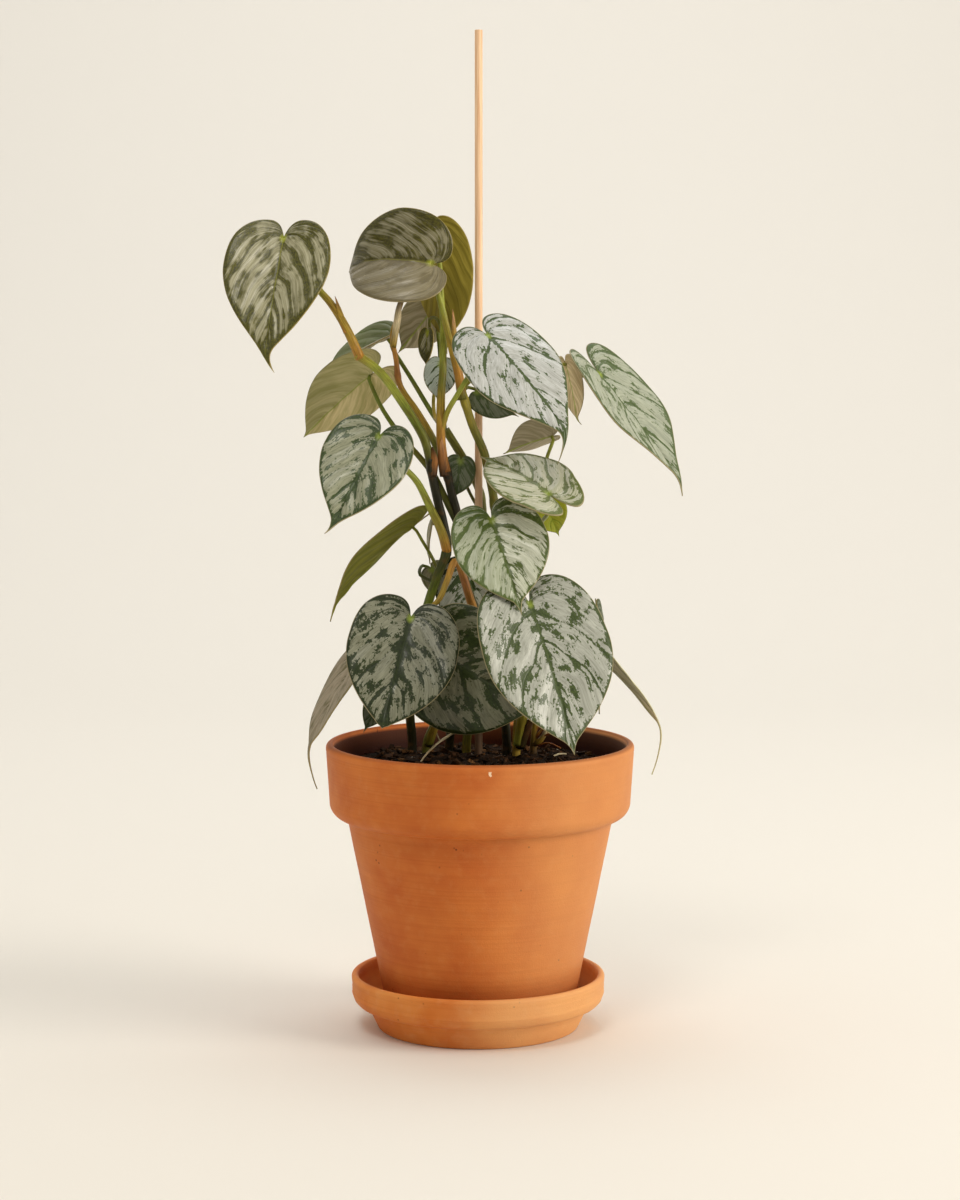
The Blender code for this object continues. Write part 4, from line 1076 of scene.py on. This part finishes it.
# Loose roots and fibres on the soil: a pale root, a dry stick and the frayed end of the old stub.
looseRoots = (
    strand((0.75, 0.35), "root cream root root root", (-9, 21, 155), (-15, 18.5, 151), (-21, 16, 147.4),
           (-26, 10, 143.8), (-29, -2, 142), (-31, -14, 140.6)),
    strand((0.45, 0.25), "cream root", (-21, 16, 147.2), (-22.2, 15, 150.4), (-23, 14, 153)),
    strand((0.5, 0.4), "cream cream", (37, 3, 141), (41, 5, 142.5), (45, 8, 142)),
    strand((0.7, 0.3), "fibre orange fibre fibre", (29, 13, 150), (33, 11.5, 155), (39, 10, 158),
           (45, 7, 155)),
    strand((0.6, 0.3), "fibre fibre orange", (30, 13, 148), (35, 10, 152), (41, 7, 152.5), (47, 4, 150)),
    strand((0.6, 0.3), "fibre orange fibre", (28.5, 13, 152), (31, 12, 158), (35, 11, 162)),
    strand((0.5, 0.3), "fibre fibre", (30, 12, 146), (36, 7, 148), (42, 2, 146)),
    strand((0.6, 0.25), "root fibre", (-46, -22, 141.5), (-40, -30, 142), (-33, -34, 141)),
    strand((0.5, 0.25), "fibre root", (2, -40, 142), (10, -42, 142.6), (18, -39, 141.6)),
)


def buildStem(name, nodes, strands, papery, finish):
    bm = bmesh.new()
    layers = (bm.verts.layers.float_vector.new("strandMap"), bm.verts.layers.float_color.new("tone"))
    for entry in strands:
        addStrand(bm, layers, entry)
    for entry in papery:
        addSheath(bm, layers, entry)
    bmesh.ops.recalc_face_normals(bm, faces=bm.faces)
    placePiece(name, bm, [finish], nodes)


stemSkin = stemMaterial()
for node, strands in vines.items():
    name = node.replace("vine_", "leafyStem_").replace("old_stub", "oldStub")
    buildStem(name, [node], strands, sheaths.get(node, ()), stemSkin)
buildStem("looseRoots", [], looseRoots, (), stemSkin)
print("stems grown:", len(vines))


# potting soil: a lumpy bed, bark chips, crumbs and pale specks

soil = {
    "edgeZ": 136.5, "centreZ": 141.0, "bottomZ": 15.3, "steps": 150, "rings": 56,
    "walls": ((43.7, 15.3), (64.7, 112.0), (73.2, 128.0), (74.1, 136.5)),
    "lump": 1.9, "lumpWide": 11, "crumbDepth": 1.0, "crumbWide": 3.0,
    "black": "#120A03", "brown": "#321E0C", "bark": "#4A2E16", "barkPale": "#7A5632",
    "grain": "#B9AE9C", "speck": "#D9CFC0",
    "seed": 11, "spread": 0.96,
    # how many, their size, their shape and the finishes that they are drawn from
    "litter": (
        (420, (1.6, 4.6), "block", (1, 1, 0, 0, 2)),
        (760, (1.0, 2.8), "lump", (0, 0, 1)),
        (46, (0.6, 1.6), "lump", (3,)),
    ),
    # in shares of a chip's size, and radians
    "bent": 0.16, "long": (0.8, 1.9), "wide": (0.35, 0.7), "thick": (0.2, 0.5), "raised": (0.0, 0.22),
    "lean": (0.45, 0.35),
}


def soilHeight(x, y):
    # mm, for a place in mm
    reach = min(1.0, math.hypot(x, y) / soil["walls"][-1][0])
    height = soil["centreZ"] + (soil["edgeZ"] - soil["centreZ"]) * reach ** 2
    keep = smoothStep(1.0, 0.9, reach)
    height += keep * soil["lump"] * noise.noise(Vector((x, y, 3.0)) / soil["lumpWide"])
    crumbs = noise.fractal(Vector((x, y, 9.0)) / soil["crumbWide"], 1.0, 2.0, 4)
    return height + keep * soil["crumbDepth"] * crumbs


def soilMaterial(name, dark, light, rough=0.95, grain=500.0):
    # peat and composted bark: matt, nearly black when damp, browner where dry; 8 mm clumps, 2 mm grain
    made, tree = newMaterial(name, Roughness=rough, Specular_IOR_Level=0.12)
    place = addNode(tree, "TexCoord").outputs["Object"]
    clumps = addNode(tree, "TexNoise", {"Vector": place, "Scale": 120.0, "Detail": 4.0})
    fine = addNode(tree, "TexNoise", {"Vector": place, "Scale": grain, "Detail": 4.0, "Roughness": 0.7})
    both = addNode(tree, "Math", {0: clumps, 1: fine}, operation="MULTIPLY")
    colour = laidOver(tree, dark, light, both, (0.17, 0.36))
    return finishMaterial(made, colour, fine, 0.8, 0.8)


def addChip(bm, draw, size, shape, materialIndex):
    # one bark chip or crumb: a bent little block, resting half sunk in the soil
    reach = soil["walls"][-1][0] * soil["spread"] * math.sqrt(draw.random())
    turn = draw.uniform(0, math.tau)
    x, y = reach * math.cos(turn), reach * math.sin(turn)
    if shape == "block":
        made = bmesh.ops.create_cube(bm, size=1.0)["verts"]
    else:
        made = bmesh.ops.create_icosphere(bm, subdivisions=1, radius=0.5)["verts"]
    for vert in made:
        vert.co += Vector((draw.uniform(-soil["bent"], soil["bent"]) for _ in range(3)))
    stretch = Matrix.Diagonal([size * draw.uniform(*soil[way]) for way in ("long", "wide", "thick")] + [1.0])
    leanX, leanY = soil["lean"]
    lean = Matrix.Rotation(draw.gauss(0, leanX), 4, "X") @ Matrix.Rotation(draw.gauss(0, leanY), 4, "Y")
    turned = Matrix.Rotation(draw.uniform(0, math.tau), 4, "Z") @ lean @ stretch
    height = soilHeight(x, y) + size * draw.uniform(*soil["raised"])
    bmesh.ops.transform(bm, matrix=Matrix.Diagonal((mm, mm, mm, 1)) @ Matrix.Translation((x, y, height))
                        @ turned, verts=made)
    for face in {face for vert in made for face in vert.link_faces}:
        face.material_index = materialIndex


def buildSoil():
    finishes = [soilMaterial("dampPeat", soil["black"], soil["brown"]),
                soilMaterial("compostedBark", soil["brown"], soil["bark"], 0.85, 700.0),
                soilMaterial("dryBark", soil["bark"], soil["barkPale"], 0.85, 700.0),
                soilMaterial("perliteGrain", soil["grain"], soil["speck"], 0.9, 900.0)]
    outer, rings = soil["walls"][-1][0], soil["rings"]
    profile = [(0, soil["bottomZ"])] + list(soil["walls"])
    profile += [(outer * (1 - ring / rings), soil["edgeZ"]) for ring in range(1, rings + 1)]
    bm = turnedPiece(profile, False, soil["steps"])
    for vert in bm.verts:
        if vert.co.z > (soil["edgeZ"] - 0.01) * mm:
            vert.co.z = soilHeight(vert.co.x / mm, vert.co.y / mm) * mm
    draw = random.Random(soil["seed"])
    for count, (least, most), shape, kinds in soil["litter"]:
        for _ in range(count):
            size = draw.uniform(least, most)
            addChip(bm, draw, size, shape, draw.choice(kinds) if len(kinds) > 1 else kinds[0])
    bmesh.ops.recalc_face_normals(bm, faces=bm.faces)
    placePiece("pottingSoil", bm, finishes, ["soil"]).data.shade_flat()


buildSoil()
print("soil filled")
